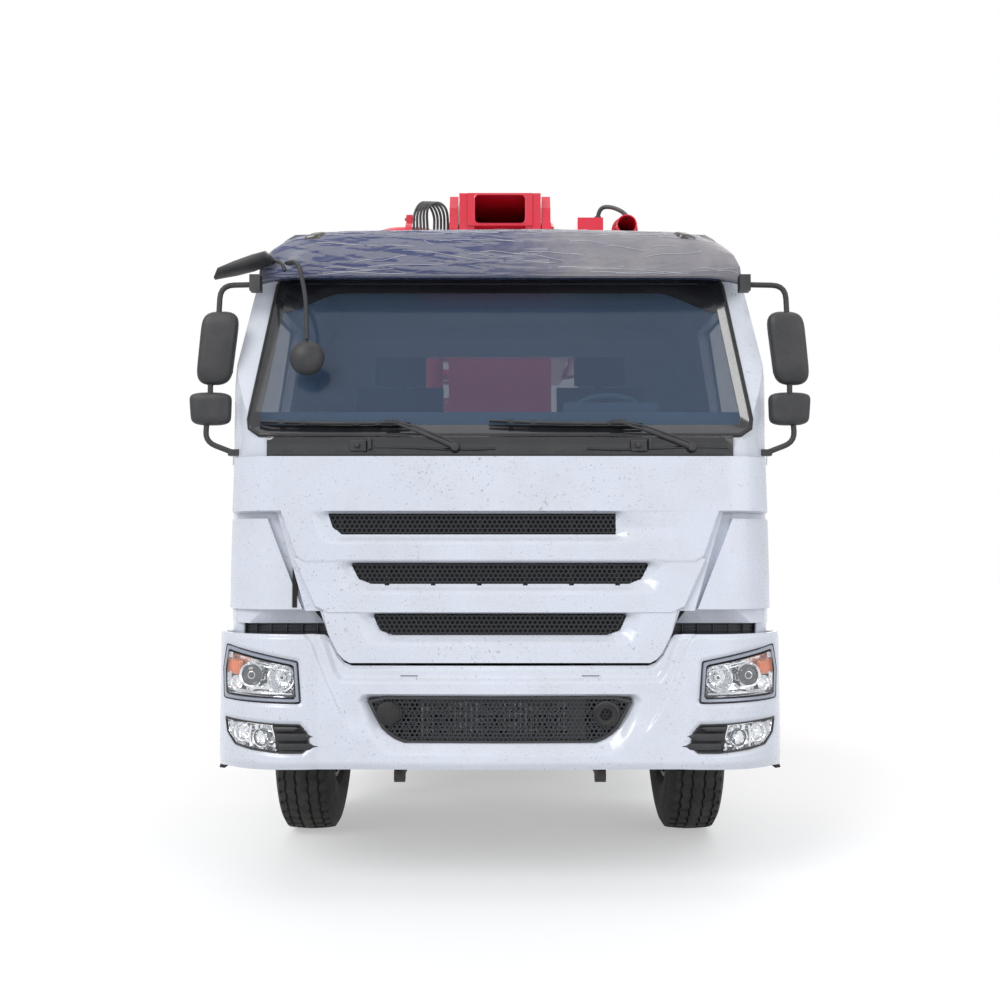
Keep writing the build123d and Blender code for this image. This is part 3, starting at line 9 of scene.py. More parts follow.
import logging
import math
from dataclasses import dataclass
from enum import Enum
from typing import Callable, Sequence

import bmesh
import bpy
import numpy as np
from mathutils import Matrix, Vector

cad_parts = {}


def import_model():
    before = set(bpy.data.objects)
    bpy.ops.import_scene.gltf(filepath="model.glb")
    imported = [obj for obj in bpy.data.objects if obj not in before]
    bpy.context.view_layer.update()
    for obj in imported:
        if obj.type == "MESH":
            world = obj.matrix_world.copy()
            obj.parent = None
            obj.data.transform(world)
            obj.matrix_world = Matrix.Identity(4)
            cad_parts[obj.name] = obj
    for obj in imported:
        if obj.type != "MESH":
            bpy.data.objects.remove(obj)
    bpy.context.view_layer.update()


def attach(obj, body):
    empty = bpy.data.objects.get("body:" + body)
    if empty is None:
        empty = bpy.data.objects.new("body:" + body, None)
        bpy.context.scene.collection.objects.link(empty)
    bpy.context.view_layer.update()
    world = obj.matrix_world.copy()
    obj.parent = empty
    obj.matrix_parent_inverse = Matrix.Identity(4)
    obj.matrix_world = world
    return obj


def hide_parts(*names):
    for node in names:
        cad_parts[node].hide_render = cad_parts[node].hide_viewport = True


LOG = logging.getLogger("scene")
LENGTH = 10.9
FRONT = -LENGTH / 2
FRONT_AXLE = 1.500
AXLE_Z = 0.540
RAIL_OUT = 0.430
Pair = tuple[float, float]
Point = tuple[float, float, float]
Curve = Callable[[np.ndarray], np.ndarray]
Socket = bpy.types.NodeSocket
Value = Socket | Point | float
SECOND_SHARE = 0.78
EDGE_STEPS = 2
RING_STEPS = 112
SPECK_COLOR = (0.16, 0.12, 0.10)
SIDES = ((1, "left"), (-1, "right"))


def at(back: float) -> float:
    """Y, in the row's frame, of a place this far behind the bumper's front."""
    return back + FRONT


class Slot(str, Enum):
    """Names of the record's material slots, passed along with each scene piece."""

    WHITE = "white_paint"
    RED = "red_paint"
    GREY = "grey_paint"
    STEEL = "black_steel"
    BRIGHT = "bright_steel"
    PLATE = "plate"
    BLACK = "black_plastic"
    VISOR = "visor_plastic"
    LENS = "lamp_lens"
    GLASS = "tinted_glass"
    TYRE = "tyre_rubber"


class Sheet:
    """The node tree of a material or a world, with short ways to add and join nodes."""

    COLOR_A, COLOR_B, COLOR_OUT = 6, 7, 2

    def __init__(self, owner: bpy.types.Material | bpy.types.World) -> None:
        """Turns the owner's nodes on and takes them."""
        owner.use_nodes = True
        self.nodes, self.links = owner.node_tree.nodes, owner.node_tree.links

    def feed(self, socket: Socket, value: Value) -> None:
        """Links a socket to another node's output, or sets it to a colour or a number.

        Args:
            socket: Input that takes the value.
            value: An output, a colour of three numbers, or a number.
        """
        if isinstance(value, Socket):
            self.links.new(value, socket)
        else:
            socket.default_value = (*value, 1.0) if isinstance(value, tuple) else value

    def node(self, kind: str, output: str, *values: Value, **named: Value) -> Socket:
        """Adds a node and feeds its inputs.

        Args:
            kind: The node's type, without the word ShaderNode in front.
            output: Name of the output that is wanted.
            values: Values of its first inputs, in order.
            named: Values by input name, with _ for each space.

        Returns:
            The output.
        """
        node = self.nodes.new(f"ShaderNode{kind}")
        for socket, value in zip(node.inputs, values):
            self.feed(socket, value)
        for name, value in named.items():
            self.feed(node.inputs[name.replace("_", " ")], value)
        return node.outputs[output]

    def math(self, operation: str, *values: Value) -> Socket:
        """Adds a maths node.

        Args:
            operation: What it does with its inputs.
            values: Its inputs in order.

        Returns:
            Its output.
        """
        node = self.nodes.new("ShaderNodeMath")
        node.operation = operation
        for socket, value in zip(node.inputs, values):
            self.feed(socket, value)
        return node.outputs["Value"]

    def noise(self, scale: float, detail: float, rough: float = 0.55) -> Socket:
        """Adds noise between 0 and 1 over the object's own axes."""
        return self.node("TexNoise", "Fac", Vector=self.place(), Scale=scale, Detail=detail, Roughness=rough)

    def place(self) -> Socket:
        """Place in the object's own axes, from one node for the whole tree."""
        known = self.nodes.get("Texture Coordinate") or self.nodes.new("ShaderNodeTexCoord")
        return known.outputs["Object"]

    def ramp(self, source: Socket, low: float, high: float, to: float) -> Socket:
        """Rises in a straight line from 0 where the source is low to a value where it is high."""
        return self.node("MapRange", "Result", From_Min=low, From_Max=high, To_Max=to, Value=source)

    def mix(self, share: Socket, first: Value, second: Value) -> Socket:
        """Mixes two colours.

        Args:
            share: Share of the second colour.
            first: First colour.
            second: Second colour.

        Returns:
            The mixed colour.
        """
        node = self.nodes.new("ShaderNodeMix")
        node.data_type = "RGBA"
        self.feed(node.inputs["Factor"], share)
        self.feed(node.inputs[self.COLOR_A], first)
        self.feed(node.inputs[self.COLOR_B], second)
        return node.outputs[self.COLOR_OUT]

    def seen(self) -> Socket:
        """Tells which rays show a thing to the viewer: from the camera, through glass and off gloss.

        Returns:
            1 for such a ray, 0 for the others.
        """
        rays = self.nodes.new("ShaderNodeLightPath").outputs
        clear = self.math("MAXIMUM", rays["Is Camera Ray"], rays["Is Transmission Ray"])
        return self.math("MAXIMUM", clear, rays["Is Glossy Ray"])


@dataclass(frozen=True)
class Finish:
    """One surface finish, turned into a procedural node material.

    The base colour is mixed with a second colour by noise, then with dust by a second noise that
    gathers on faces that look up. Another noise makes the grain that feeds the bump and roughness.

    Attributes:
        name: Material name.
        color: Linear base colour.
        second: Linear colour that the first drifts towards.
        drift: Share of the drift, 0 to 1.
        scale: Size of the drift's noise, per metre.
        rough: Mean roughness.
        rough_spread: How far the grain moves the roughness.
        metallic: Metalness.
        grain: Grain noise scale, per metre.
        bump: Height of the grain in metres.
        dust: Share of dust, 0 to 1.
        dust_color: Linear colour of the dust.
        specks: Share of small dirt specks, 0 to 1.
        coat: Clear coat weight.
        alpha: Opacity of the surface.
        glow: Emission strength of the base colour.
        fade: Colour that the finish comes out of along X, or None.
        fade_x: Where the fade starts and ends.
    """

    name: str
    color: Point
    second: Point | None = None
    drift: float = 0.35
    scale: float = 3.0
    rough: float = 0.5
    rough_spread: float = 0.12
    metallic: float = 0.0
    grain: float = 160.0
    bump: float = 0.0004
    dust: float = 0.0
    dust_color: Point = (0.42, 0.38, 0.32)
    specks: float = 0.0
    coat: float = 0.0
    alpha: float = 1.0
    glow: float = 0.0
    fade: Point | None = None
    fade_x: Pair = (0.0, 1.0)

    def material(self) -> bpy.types.Material:
        """Builds the node material once and reuses it.

        Returns:
            The Blender material.
        """
        known = bpy.data.materials.get(self.name)
        if known:
            return known
        mat = bpy.data.materials.new(self.name)
        sheet = Sheet(mat)
        shader = sheet.nodes["Principled BSDF"]
        second = self.second or tuple(min(1.0, c * SECOND_SHARE) for c in self.color)
        tone = sheet.mix(sheet.ramp(sheet.noise(self.scale, 4.0), 0.35, 0.7, self.drift), self.color, second)
        if self.dust > 0:
            tone = self._dusted(sheet, tone)
        if self.specks > 0:
            dots = sheet.ramp(sheet.noise(75.0, 2.0, 0.8), 0.63, 0.69, 1.0)
            places = sheet.ramp(sheet.noise(2.1, 3.0), 0.38, 0.62, self.specks)
            tone = sheet.mix(sheet.math("MULTIPLY", dots, places), tone, SPECK_COLOR)
        if self.fade:
            across = sheet.node("SeparateXYZ", "X", Vector=sheet.place())
            wave = sheet.math("MULTIPLY_ADD", sheet.noise(2.6, 5.0, 0.7), 1.1, across)
            tone = sheet.mix(sheet.ramp(wave, *self.fade_x, 1.0), self.fade, tone)
        fine = sheet.noise(self.grain, 3.0)
        grain = sheet.node("MapRange", "Result", Value=sheet.ramp(fine, 0.3, 0.7, 1.0),
                           To_Min=max(0.02, self.rough - self.rough_spread),
                           To_Max=min(1.0, self.rough + self.rough_spread))
        bump = sheet.node("Bump", "Normal", Strength=0.6, Distance=self.bump, Height=fine)
        inputs = {"Base Color": tone, "Roughness": grain, "Normal": bump, "Metallic": self.metallic,
                  "Coat Weight": self.coat, "Coat Roughness": 0.08, "Alpha": self.alpha}
        if self.glow > 0:
            inputs.update({"Emission Color": self.color, "Emission Strength": self.glow})
        for name, value in inputs.items():
            sheet.feed(shader.inputs[name], value)
        mat.diffuse_color = (*self.color, self.alpha)
        return mat

    def _dusted(self, sheet: Sheet, tone: Socket) -> Socket:
        """Lays dust in patches, more of it on faces that look up.

        Args:
            sheet: The material's nodes.
            tone: Colour without dust.

        Returns:
            The dusted colour.
        """
        patches = sheet.noise(self.scale * 2.3 + 1.0, 6.0, 0.65)
        facing = sheet.node("SeparateXYZ", "Z", Vector=sheet.node("NewGeometry", "Normal"))
        amount = sheet.math("ADD", patches, sheet.ramp(facing, 0.1, 0.95, 0.35))
        return sheet.mix(sheet.ramp(amount, 0.42, 0.95, self.dust), tone, self.dust_color)


@dataclass(frozen=True)
class Palette:
    """Every finish on the truck."""

    white: Finish = Finish(
        "white cab paint", (0.68, 0.715, 0.80), (0.60, 0.635, 0.72), rough=0.3, bump=0.0001, dust=0.34,
        dust_color=(0.47, 0.44, 0.41), specks=0.55, coat=0.35, scale=1.6)
    white_plain: Finish = Finish(
        "white tank paint", (0.66, 0.68, 0.69), rough=0.4, bump=0.0001, dust=0.4, specks=0.4, coat=0.2,
        scale=1.4)
    red: Finish = Finish(
        "red boom paint", (0.74, 0.012, 0.045), (0.58, 0.009, 0.03), rough=0.33, bump=0.0001, dust=0.12,
        dust_color=(0.36, 0.2, 0.17), specks=0.3, coat=0.35, scale=1.2)
    grey: Finish = Finish(
        "grey machine paint", (0.23, 0.24, 0.26), (0.15, 0.155, 0.17), rough=0.45, dust=0.4, bump=0.0002,
        specks=0.3)
    steel: Finish = Finish(
        "black frame paint", (0.022, 0.022, 0.024), (0.05, 0.045, 0.04), rough=0.5, dust=0.35, bump=0.0003,
        dust_color=(0.2, 0.17, 0.14))
    cast: Finish = Finish(
        "cast axle metal", (0.045, 0.045, 0.048), (0.11, 0.07, 0.045), rough=0.65, dust=0.45, metallic=0.3,
        bump=0.001, dust_color=(0.2, 0.16, 0.12))
    bright: Finish = Finish(
        "bright rod steel", (0.72, 0.73, 0.75), rough=0.14, rough_spread=0.05, metallic=1.0, bump=0.00005,
        grain=420.0)
    plate: Finish = Finish(
        "brushed plate", (0.47, 0.48, 0.5), (0.36, 0.37, 0.39), rough=0.38, metallic=0.85, bump=0.0002,
        dust=0.2)
    black: Finish = Finish(
        "black moulded plastic", (0.016, 0.017, 0.02), (0.035, 0.035, 0.038), rough=0.52, bump=0.0003,
        grain=900.0, dust=0.25, dust_color=(0.16, 0.15, 0.14))
    gloss: Finish = Finish(
        "black gloss plastic", (0.008, 0.009, 0.013), rough=0.16, coat=0.5, bump=0.00005, dust=0.08,
        dust_color=(0.2, 0.19, 0.18))
    rubber: Finish = Finish(
        "rubber trim", (0.012, 0.012, 0.013), rough=0.75, bump=0.0003, dust=0.2,
        dust_color=(0.14, 0.13, 0.12))
    tyre: Finish = Finish(
        "tyre rubber", (0.018, 0.018, 0.019), (0.03, 0.028, 0.026), rough=0.82, bump=0.0008, grain=220.0,
        dust=0.45, dust_color=(0.15, 0.13, 0.11))
    rim: Finish = Finish(
        "rim paint", (0.20, 0.205, 0.215), (0.13, 0.11, 0.1), rough=0.45, dust=0.5, bump=0.0002,
        dust_color=(0.2, 0.16, 0.13))
    blue: Finish = Finish(
        "pale blue cabin plastic", (0.13, 0.21, 0.33), (0.09, 0.15, 0.25), rough=0.6, bump=0.0003,
        grain=700.0)
    seat: Finish = Finish(
        "seat cloth", (0.045, 0.03, 0.055), (0.16, 0.025, 0.05), rough=0.85, bump=0.0012, grain=520.0)
    film: Finish = Finish(
        "clear wrinkled film", (0.78, 0.77, 0.75), rough=0.22, alpha=0.2, bump=0.006, grain=26.0)
    glass: Finish = Finish(
        "cab glass", (0.05, 0.09, 0.16), rough=0.03, rough_spread=0.01, alpha=0.42, coat=0.3, bump=0.00001)
    lens: Finish = Finish(
        "lamp lens", (0.85, 0.88, 0.92), rough=0.05, rough_spread=0.02, alpha=0.16, coat=0.6, bump=0.0001)
    chrome: Finish = Finish(
        "chrome reflector", (0.82, 0.83, 0.85), rough=0.07, rough_spread=0.03, metallic=1.0, bump=0.00002)
    amber: Finish = Finish("amber lens", (0.75, 0.16, 0.01), rough=0.15, coat=0.5, bump=0.0001, glow=0.12)
    tail: Finish = Finish("red tail lens", (0.5, 0.01, 0.01), rough=0.15, coat=0.5, bump=0.0001, glow=0.05)
    mirror: Finish = Finish(
        "mirror glass", (0.62, 0.68, 0.76), rough=0.03, rough_spread=0.01, metallic=1.0, bump=0.00001)
    hose: Finish = Finish(
        "grey hose", (0.045, 0.05, 0.056), (0.09, 0.09, 0.095), rough=0.6, bump=0.0008, grain=420.0, dust=0.3)
    pipe: Finish = Finish(
        "delivery pipe paint", (0.62, 0.012, 0.035), (0.3, 0.06, 0.05), rough=0.42, dust=0.2, bump=0.0003,
        specks=0.5)
    mesh: Finish = Finish(
        "black grille mesh", (0.02, 0.022, 0.028), (0.045, 0.05, 0.06), rough=0.42, bump=0.0002, grain=500.0)
    bezel: Finish = Finish(
        "grey lamp bezel", (0.32, 0.345, 0.41), (0.24, 0.26, 0.31), rough=0.34, metallic=0.55, bump=0.0001)
    visor: Finish = Finish(
        "navy gloss visor", (0.018, 0.028, 0.070), (0.010, 0.014, 0.036), rough=0.2, coat=0.5, bump=0.0002,
        grain=30.0)
    dull_film: Finish = Finish(
        "dull wrinkled film", (0.37, 0.345, 0.355), (0.20, 0.20, 0.25), rough=0.42, alpha=0.86, bump=0.004,
        grain=24.0, drift=0.8, scale=5.0, fade=(0.050, 0.064, 0.165), fade_x=(0.36, 0.80))
    # Whitish colour on the film's folds: painted highlight where the wrinkles catch the light.
    crease_glint: Finish = Finish("film crease", (0.62, 0.64, 0.70), rough=0.3, bump=0.0002)
    smoke: Finish = Finish("smoked lens", (0.06, 0.05, 0.05), rough=0.12, coat=0.5, bump=0.0001)
    # Near-black painted shade: the dark inside the gap round the headlamps and behind the grilles and the
    # flap's slots.
    painted_gap_shade: Finish = Finish("dark panel gap", (0.006, 0.006, 0.007), rough=0.85, bump=0.0002)


PAINT = Palette()


class Shape:
    """Computed points and faces that become one mesh piece."""

    def __init__(self) -> None:
        """Starts with no points and no faces."""
        self.points: list[np.ndarray] = []
        self.faces: list[tuple[int, ...]] = []
        self.count = 0

    def add(self, points: np.ndarray, faces: Sequence[Sequence[int]]) -> "Shape":
        """Adds points with faces that index them.

        Args:
            points: Points, one row each.
            faces: Faces as tuples of row numbers.

        Returns:
            This shape.
        """
        base = self.count
        self.points.append(np.asarray(points, float).reshape(-1, 3))
        self.faces.extend(tuple(int(i) + base for i in face) for face in faces)
        self.count += len(self.points[-1])
        return self

    def grid(self, points: np.ndarray, wrap_u: bool = False, wrap_v: bool = False) -> "Shape":
        """Adds a surface of quads over a grid of points.

        Args:
            points: Array of shape (rows, columns, 3).
            wrap_u: Joins the last row to the first.
            wrap_v: Joins the last column to the first.

        Returns:
            This shape.
        """
        n, m = points.shape[:2]
        i, j = np.meshgrid(np.arange(n if wrap_u else n - 1), np.arange(m if wrap_v else m - 1),
                           indexing="ij")
        a = i * m + j
        b = i * m + (j + 1) % m
        c = ((i + 1) % n) * m + (j + 1) % m
        d = ((i + 1) % n) * m + j
        return self.add(points.reshape(-1, 3), np.stack([a, b, c, d], -1).reshape(-1, 4))

    def box(self, low: Point, high: Point) -> "Shape":
        """Adds a box between two opposite corners.

        Args:
            low: One corner.
            high: The corner opposite.

        Returns:
            This shape.
        """
        x0, y0, z0 = low
        x1, y1, z1 = high
        ring = [(x0, y0), (x1, y0), (x1, y1), (x0, y1)]
        return self.prism([(x, y, z0) for x, y in ring], (0, 0, z1 - z0))

    def prism(self, outline: Sequence[Point], along: Point) -> "Shape":
        """Adds a flat outline pushed along a vector, with both ends closed.

        Args:
            outline: Corners in order.
            along: The push.

        Returns:
            This shape.
        """
        ring = np.asarray(outline, float)
        n = len(ring)
        points = np.concatenate([ring, ring + np.asarray(along, float)])
        faces = [tuple(range(n))[::-1], tuple(range(n, 2 * n))]
        faces += [(i, (i + 1) % n, n + (i + 1) % n, n + i) for i in range(n)]
        return self.add(points, faces)

    def tube(self, path: Sequence[Point], radius: float | Sequence[float], sides: int = 16,
             closed: bool = False) -> "Shape":
        """Adds a round tube along a path, its rings carried forward without twist.

        Args:
            path: Points along the middle.
            radius: One radius, or one for each point.
            sides: Points in each ring.
            closed: Joins the end to the start.

        Returns:
            This shape.
        """
        line = np.asarray(path, float)
        n = len(line)
        radii = np.full(n, radius, float) if np.isscalar(radius) else np.asarray(radius, float)
        tangent = np.gradient(line, axis=0)
        if closed:
            tangent = np.roll(line, -1, 0) - np.roll(line, 1, 0)
        tangent /= np.linalg.norm(tangent, axis=1)[:, None] + 1e-12
        guess = np.array([0.0, 0.0, 1.0]) if abs(tangent[0][2]) < 0.9 else np.array([1.0, 0.0, 0.0])
        normals = []
        normal = guess
        for t in tangent:
            normal = normal - t * float(normal @ t)
            normal = normal / (np.linalg.norm(normal) + 1e-12)
            normals.append(normal)
        normals = np.array(normals)
        binormals = np.cross(tangent, normals)
        angle = np.linspace(0, 2 * math.pi, sides, endpoint=False)
        ring = (normals[:, None] * np.cos(angle)[None, :, None]
                + binormals[:, None] * np.sin(angle)[None, :, None])
        self.grid(line[:, None] + ring * radii[:, None, None], wrap_u=closed, wrap_v=True)
        if not closed:
            base = self.count - n * sides
            self.faces.append(tuple(range(base, base + sides))[::-1])
            self.faces.append(tuple(range(base + (n - 1) * sides, base + n * sides)))
        return self

    def turned(self, profile: Sequence[Pair], centre: Point, axis: Point, sides: int = 32) -> "Shape":
        """Adds a surface of revolution.

        Args:
            profile: Pairs of radius and place along the axis.
            centre: A point on the axis, where the place is zero.
            axis: Direction of the axis.
            sides: Steps around.

        Returns:
            This shape.
        """
        spin = np.asarray(axis, float) / np.linalg.norm(axis)
        side = np.cross(spin, [0.0, 0.0, 1.0] if abs(spin[2]) < 0.9 else [1.0, 0.0, 0.0])
        side /= np.linalg.norm(side)
        other = np.cross(spin, side)
        angle = np.linspace(0, 2 * math.pi, sides, endpoint=False)
        round_ = side * np.cos(angle)[:, None] + other * np.sin(angle)[:, None]
        r = np.array([p[0] for p in profile], float)
        h = np.array([p[1] for p in profile], float)
        points = np.asarray(centre, float) + round_[None] * r[:, None, None] + spin * h[:, None, None]
        return self.grid(points, wrap_v=True)

    def bolt(self, centre: Point, axis: Point, radius: float, height: float, sides: int = 6) -> "Shape":
        """Adds a bolt head with a washer.

        Args:
            centre: Middle of the seat.
            axis: Way the head points.
            radius: Half the head's width.
            height: The head's height.
            sides: Six for a hexagon.

        Returns:
            This shape.
        """
        self.turned([(0.0, height * 0.2), (radius * 1.35, height * 0.2), (radius * 1.35, 0.0)],
                    centre, axis, 12)
        return self.turned([(0.0, height), (radius * 0.9, height), (radius, height * 0.85), (radius, 0.0)],
                           centre, axis, sides)

    def build(self, name: str, body: str, finish: Finish, slot: Slot, bevel: float = 0.0,
              smooth: float = 38.0) -> bpy.types.Object:
        """Makes the mesh object, gives it its finish and puts it on its body.

        Args:
            name: Object name.
            body: CAD body it rides on.
            finish: Its finish.
            slot: The record's material slot; not used.
            bevel: Width of rounded edges, or 0.
            smooth: Angle in degrees below which edges shade smooth.

        Returns:
            The Blender object.
        """
        mesh = bpy.data.meshes.new(name)
        mesh.from_pydata(np.concatenate(self.points).tolist(), [], self.faces)
        mesh.validate()
        self._outwards(mesh)
        mesh.materials.append(finish.material())
        obj = bpy.data.objects.new(name, mesh)
        bpy.context.scene.collection.objects.link(obj)
        if bevel > 0:
            edge = obj.modifiers.new("rounded edges", "BEVEL")
            edge.width = bevel
            edge.segments = EDGE_STEPS
            edge.limit_method = "ANGLE"
            edge.angle_limit = math.radians(40)
            edge.harden_normals = False
        mesh.shade_smooth()
        mesh.set_sharp_from_angle(angle=math.radians(smooth if bevel <= 0 else 60))
        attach(obj, body)
        return obj

    @staticmethod
    def _outwards(mesh: bpy.types.Mesh) -> None:
        """Turns every face outwards and drops flat ones.

        Args:
            mesh: The mesh.
        """
        bm = bmesh.new()
        bm.from_mesh(mesh)
        bmesh.ops.dissolve_degenerate(bm, edges=bm.edges, dist=1e-6)
        bmesh.ops.recalc_face_normals(bm, faces=bm.faces)
        bm.to_mesh(mesh)
        bm.free()
        mesh.update()


def arc(a: Pair, b: Pair, c: Pair) -> tuple[float, float, float]:
    """Circle through three points.

    Args:
        a: First point.
        b: Second point.
        c: Third point.

    Returns:
        Centre and radius.
    """
    (ax, ay), (bx, by), (cx, cy) = a, b, c
    d = 2 * (ax * (by - cy) + bx * (cy - ay) + cx * (ay - by))
    ux = ((ax**2 + ay**2) * (by - cy) + (bx**2 + by**2) * (cy - ay) + (cx**2 + cy**2) * (ay - by)) / d
    uy = ((ax**2 + ay**2) * (cx - bx) + (bx**2 + by**2) * (ax - cx) + (cx**2 + cy**2) * (bx - ax)) / d
    return ux, uy, math.hypot(ax - ux, ay - uy)


@dataclass(frozen=True)
class Plan:
    """A front surface seen from above: a nearly flat middle, then a round corner.

    Attributes:
        middle: Distance behind the bumper at the truck's middle.
        first: (x, back) where the corner starts.
        second: (x, back) on the corner.
        third: (x, back) where the corner ends.
    """

    middle: float
    first: Pair
    second: Pair
    third: Pair

    def back(self, x: np.ndarray | float, lift: float = 0.0) -> np.ndarray:
        """Distance behind the bumper at each x, moved forward by a lift.

        Args:
            x: Places across the truck.
            lift: How far in front of the surface.

        Returns:
            The distances.
        """
        across = np.abs(np.asarray(x, float))
        cx, cy, r = arc(self.first, self.second, self.third)
        flat = self.middle + (self.first[1] - self.middle) * np.clip(across / self.first[0], 0, 1)
        inside = np.clip(r**2 - (np.minimum(across, self.third[0]) - cx) ** 2, 0, None)
        corner = cy - np.sqrt(inside)
        return np.where(across <= self.first[0], flat, corner) - lift

    def y(self, x: float, lift: float = 0.0) -> float:
        """Y of one place on the surface, moved forward by a lift."""
        return float(at(self.back(x, lift)))


FLAP = Plan(0.062, (0.940, 0.062), (1.140, 0.125), (1.212, 0.275))
BUMPER = Plan(0.0, (0.780, 0.022), (1.150, 0.120), (1.266, 0.330))
CAB = Plan(0.112, (0.940, 0.112), (1.140, 0.176), (1.214, 0.330))


def screen_back(z: np.ndarray | float) -> np.ndarray:
    """Distance behind the bumper of the raked windscreen plane, in a straight line over the height."""
    return 0.126 + (np.asarray(z, float) - 2.009) * (0.398 - 0.126) / (2.790 - 2.009)


def dress(finish: Finish, *names: str) -> None:
    """Gives CAD nodes a finish.

    Args:
        finish: The finish.
        names: CAD node names.
    """
    for name in names:
        obj = bpy.data.objects[name]
        obj.data.materials.clear()
        obj.data.materials.append(finish.material())


@dataclass
class Studio:
    """Camera, floor, world and sun lamps.

    Attributes:
        height: The camera's height.
        distance: How far in front of the bumper it stands.
        pitch: Degrees by which it looks up.
        lens: Its focal length in millimetres.
        suns: Name, direction, strength and width in degrees of each sun lamp.
        floor_half: Half the floor's width.
    """

    height: float = 1.45
    distance: float = 5.0
    pitch: float = 3.0
    lens: float = 42.08
    suns: tuple[tuple[str, Point, float, float], ...] = (
        ("key", (-0.55, -0.75, 0.62), 1.45, 28.0), ("fill", (0.70, -0.72, 0.30), 0.75, 50.0),
        ("top", (0.0, 0.15, 1.0), 0.70, 70.0), ("back", (0.2, 0.9, 0.45), 0.75, 60.0))
    floor_half: float = 60.0

    def build(self) -> None:
        """Makes the camera at the photograph's place, and plain soft light."""
        scene = bpy.context.scene
        scene.view_settings.view_transform = "Standard"
        camera = bpy.data.cameras.new("camera")
        camera.lens = self.lens
        camera.sensor_width = 36.0
        camera.clip_end = 200.0
        eye = bpy.data.objects.new("camera", camera)
        eye.location = (0.0, at(-self.distance), self.height)
        eye.rotation_euler = (math.radians(90 + self.pitch), 0.0, 0.0)
        scene.collection.objects.link(eye)
        scene.camera = eye
        self._world()
        self._floor()
        for sun in self.suns:
            self._sun(*sun)

    def _world(self) -> None:
        """Sets a soft world that the camera, gloss and glass see as white."""
        world = bpy.data.worlds.new("world")
        bpy.context.scene.world = world
        sheet = Sheet(world)
        light = sheet.nodes["Background"]
        sheet.feed(light.inputs["Color"], (0.80, 0.84, 0.9))
        sheet.feed(light.inputs["Strength"], 0.55)
        white = sheet.node("Background", "Background", Color=(1.0, 1.0, 1.0), Strength=1.0)
        look = sheet.node("MixShader", "Shader", sheet.seen(), light.outputs["Background"], white)
        sheet.feed(sheet.nodes["World Output"].inputs["Surface"], look)

    def _floor(self) -> None:
        """Lays a wide pale floor that isn't part of the truck and glows where a ray sees it."""
        mesh = bpy.data.meshes.new("floor")
        half = self.floor_half
        mesh.from_pydata([(-half, -half, 0), (half, -half, 0), (half, half, 0), (-half, half, 0)], [],
                         [(0, 1, 2, 3)])
        mat = bpy.data.materials.new("pale floor")
        sheet = Sheet(mat)
        shader = sheet.nodes["Principled BSDF"]
        sheet.feed(shader.inputs["Base Color"], (0.62, 0.62, 0.61))
        sheet.feed(shader.inputs["Roughness"], 0.9)
        dull = shader.outputs["BSDF"]
        bright = sheet.node("AddShader", "Shader", dull, sheet.node("Emission", "Emission", Strength=0.42))
        look = sheet.node("MixShader", "Shader", sheet.seen(), dull, bright)
        sheet.feed(sheet.nodes["Material Output"].inputs["Surface"], look)
        mesh.materials.append(mat)
        floor = bpy.data.objects.new("floor", mesh)
        bpy.context.scene.collection.objects.link(floor)

    def _sun(self, name: str, place: Point, strength: float, angle: float) -> None:
        """Adds one soft sun lamp.

        Args:
            name: Lamp name.
            place: Direction that its light comes from.
            strength: Its strength.
            angle: Its width in the sky, in degrees.
        """
        lamp = bpy.data.lights.new(name, "SUN")
        lamp.energy = strength
        lamp.angle = math.radians(angle)
        obj = bpy.data.objects.new(name, lamp)
        obj.location = Vector(place) * 12
        obj.rotation_euler = (-Vector(place)).to_track_quat("-Z", "Y").to_euler()
        bpy.context.scene.collection.objects.link(obj)


def smooth_step(value: np.ndarray, low: float, high: float) -> np.ndarray:
    """Eases from 0 at low to 1 at high: three times the share squared less twice its cube."""
    t = np.clip((value - low) / (high - low), 0, 1)
    return t * t * (3 - 2 * t)


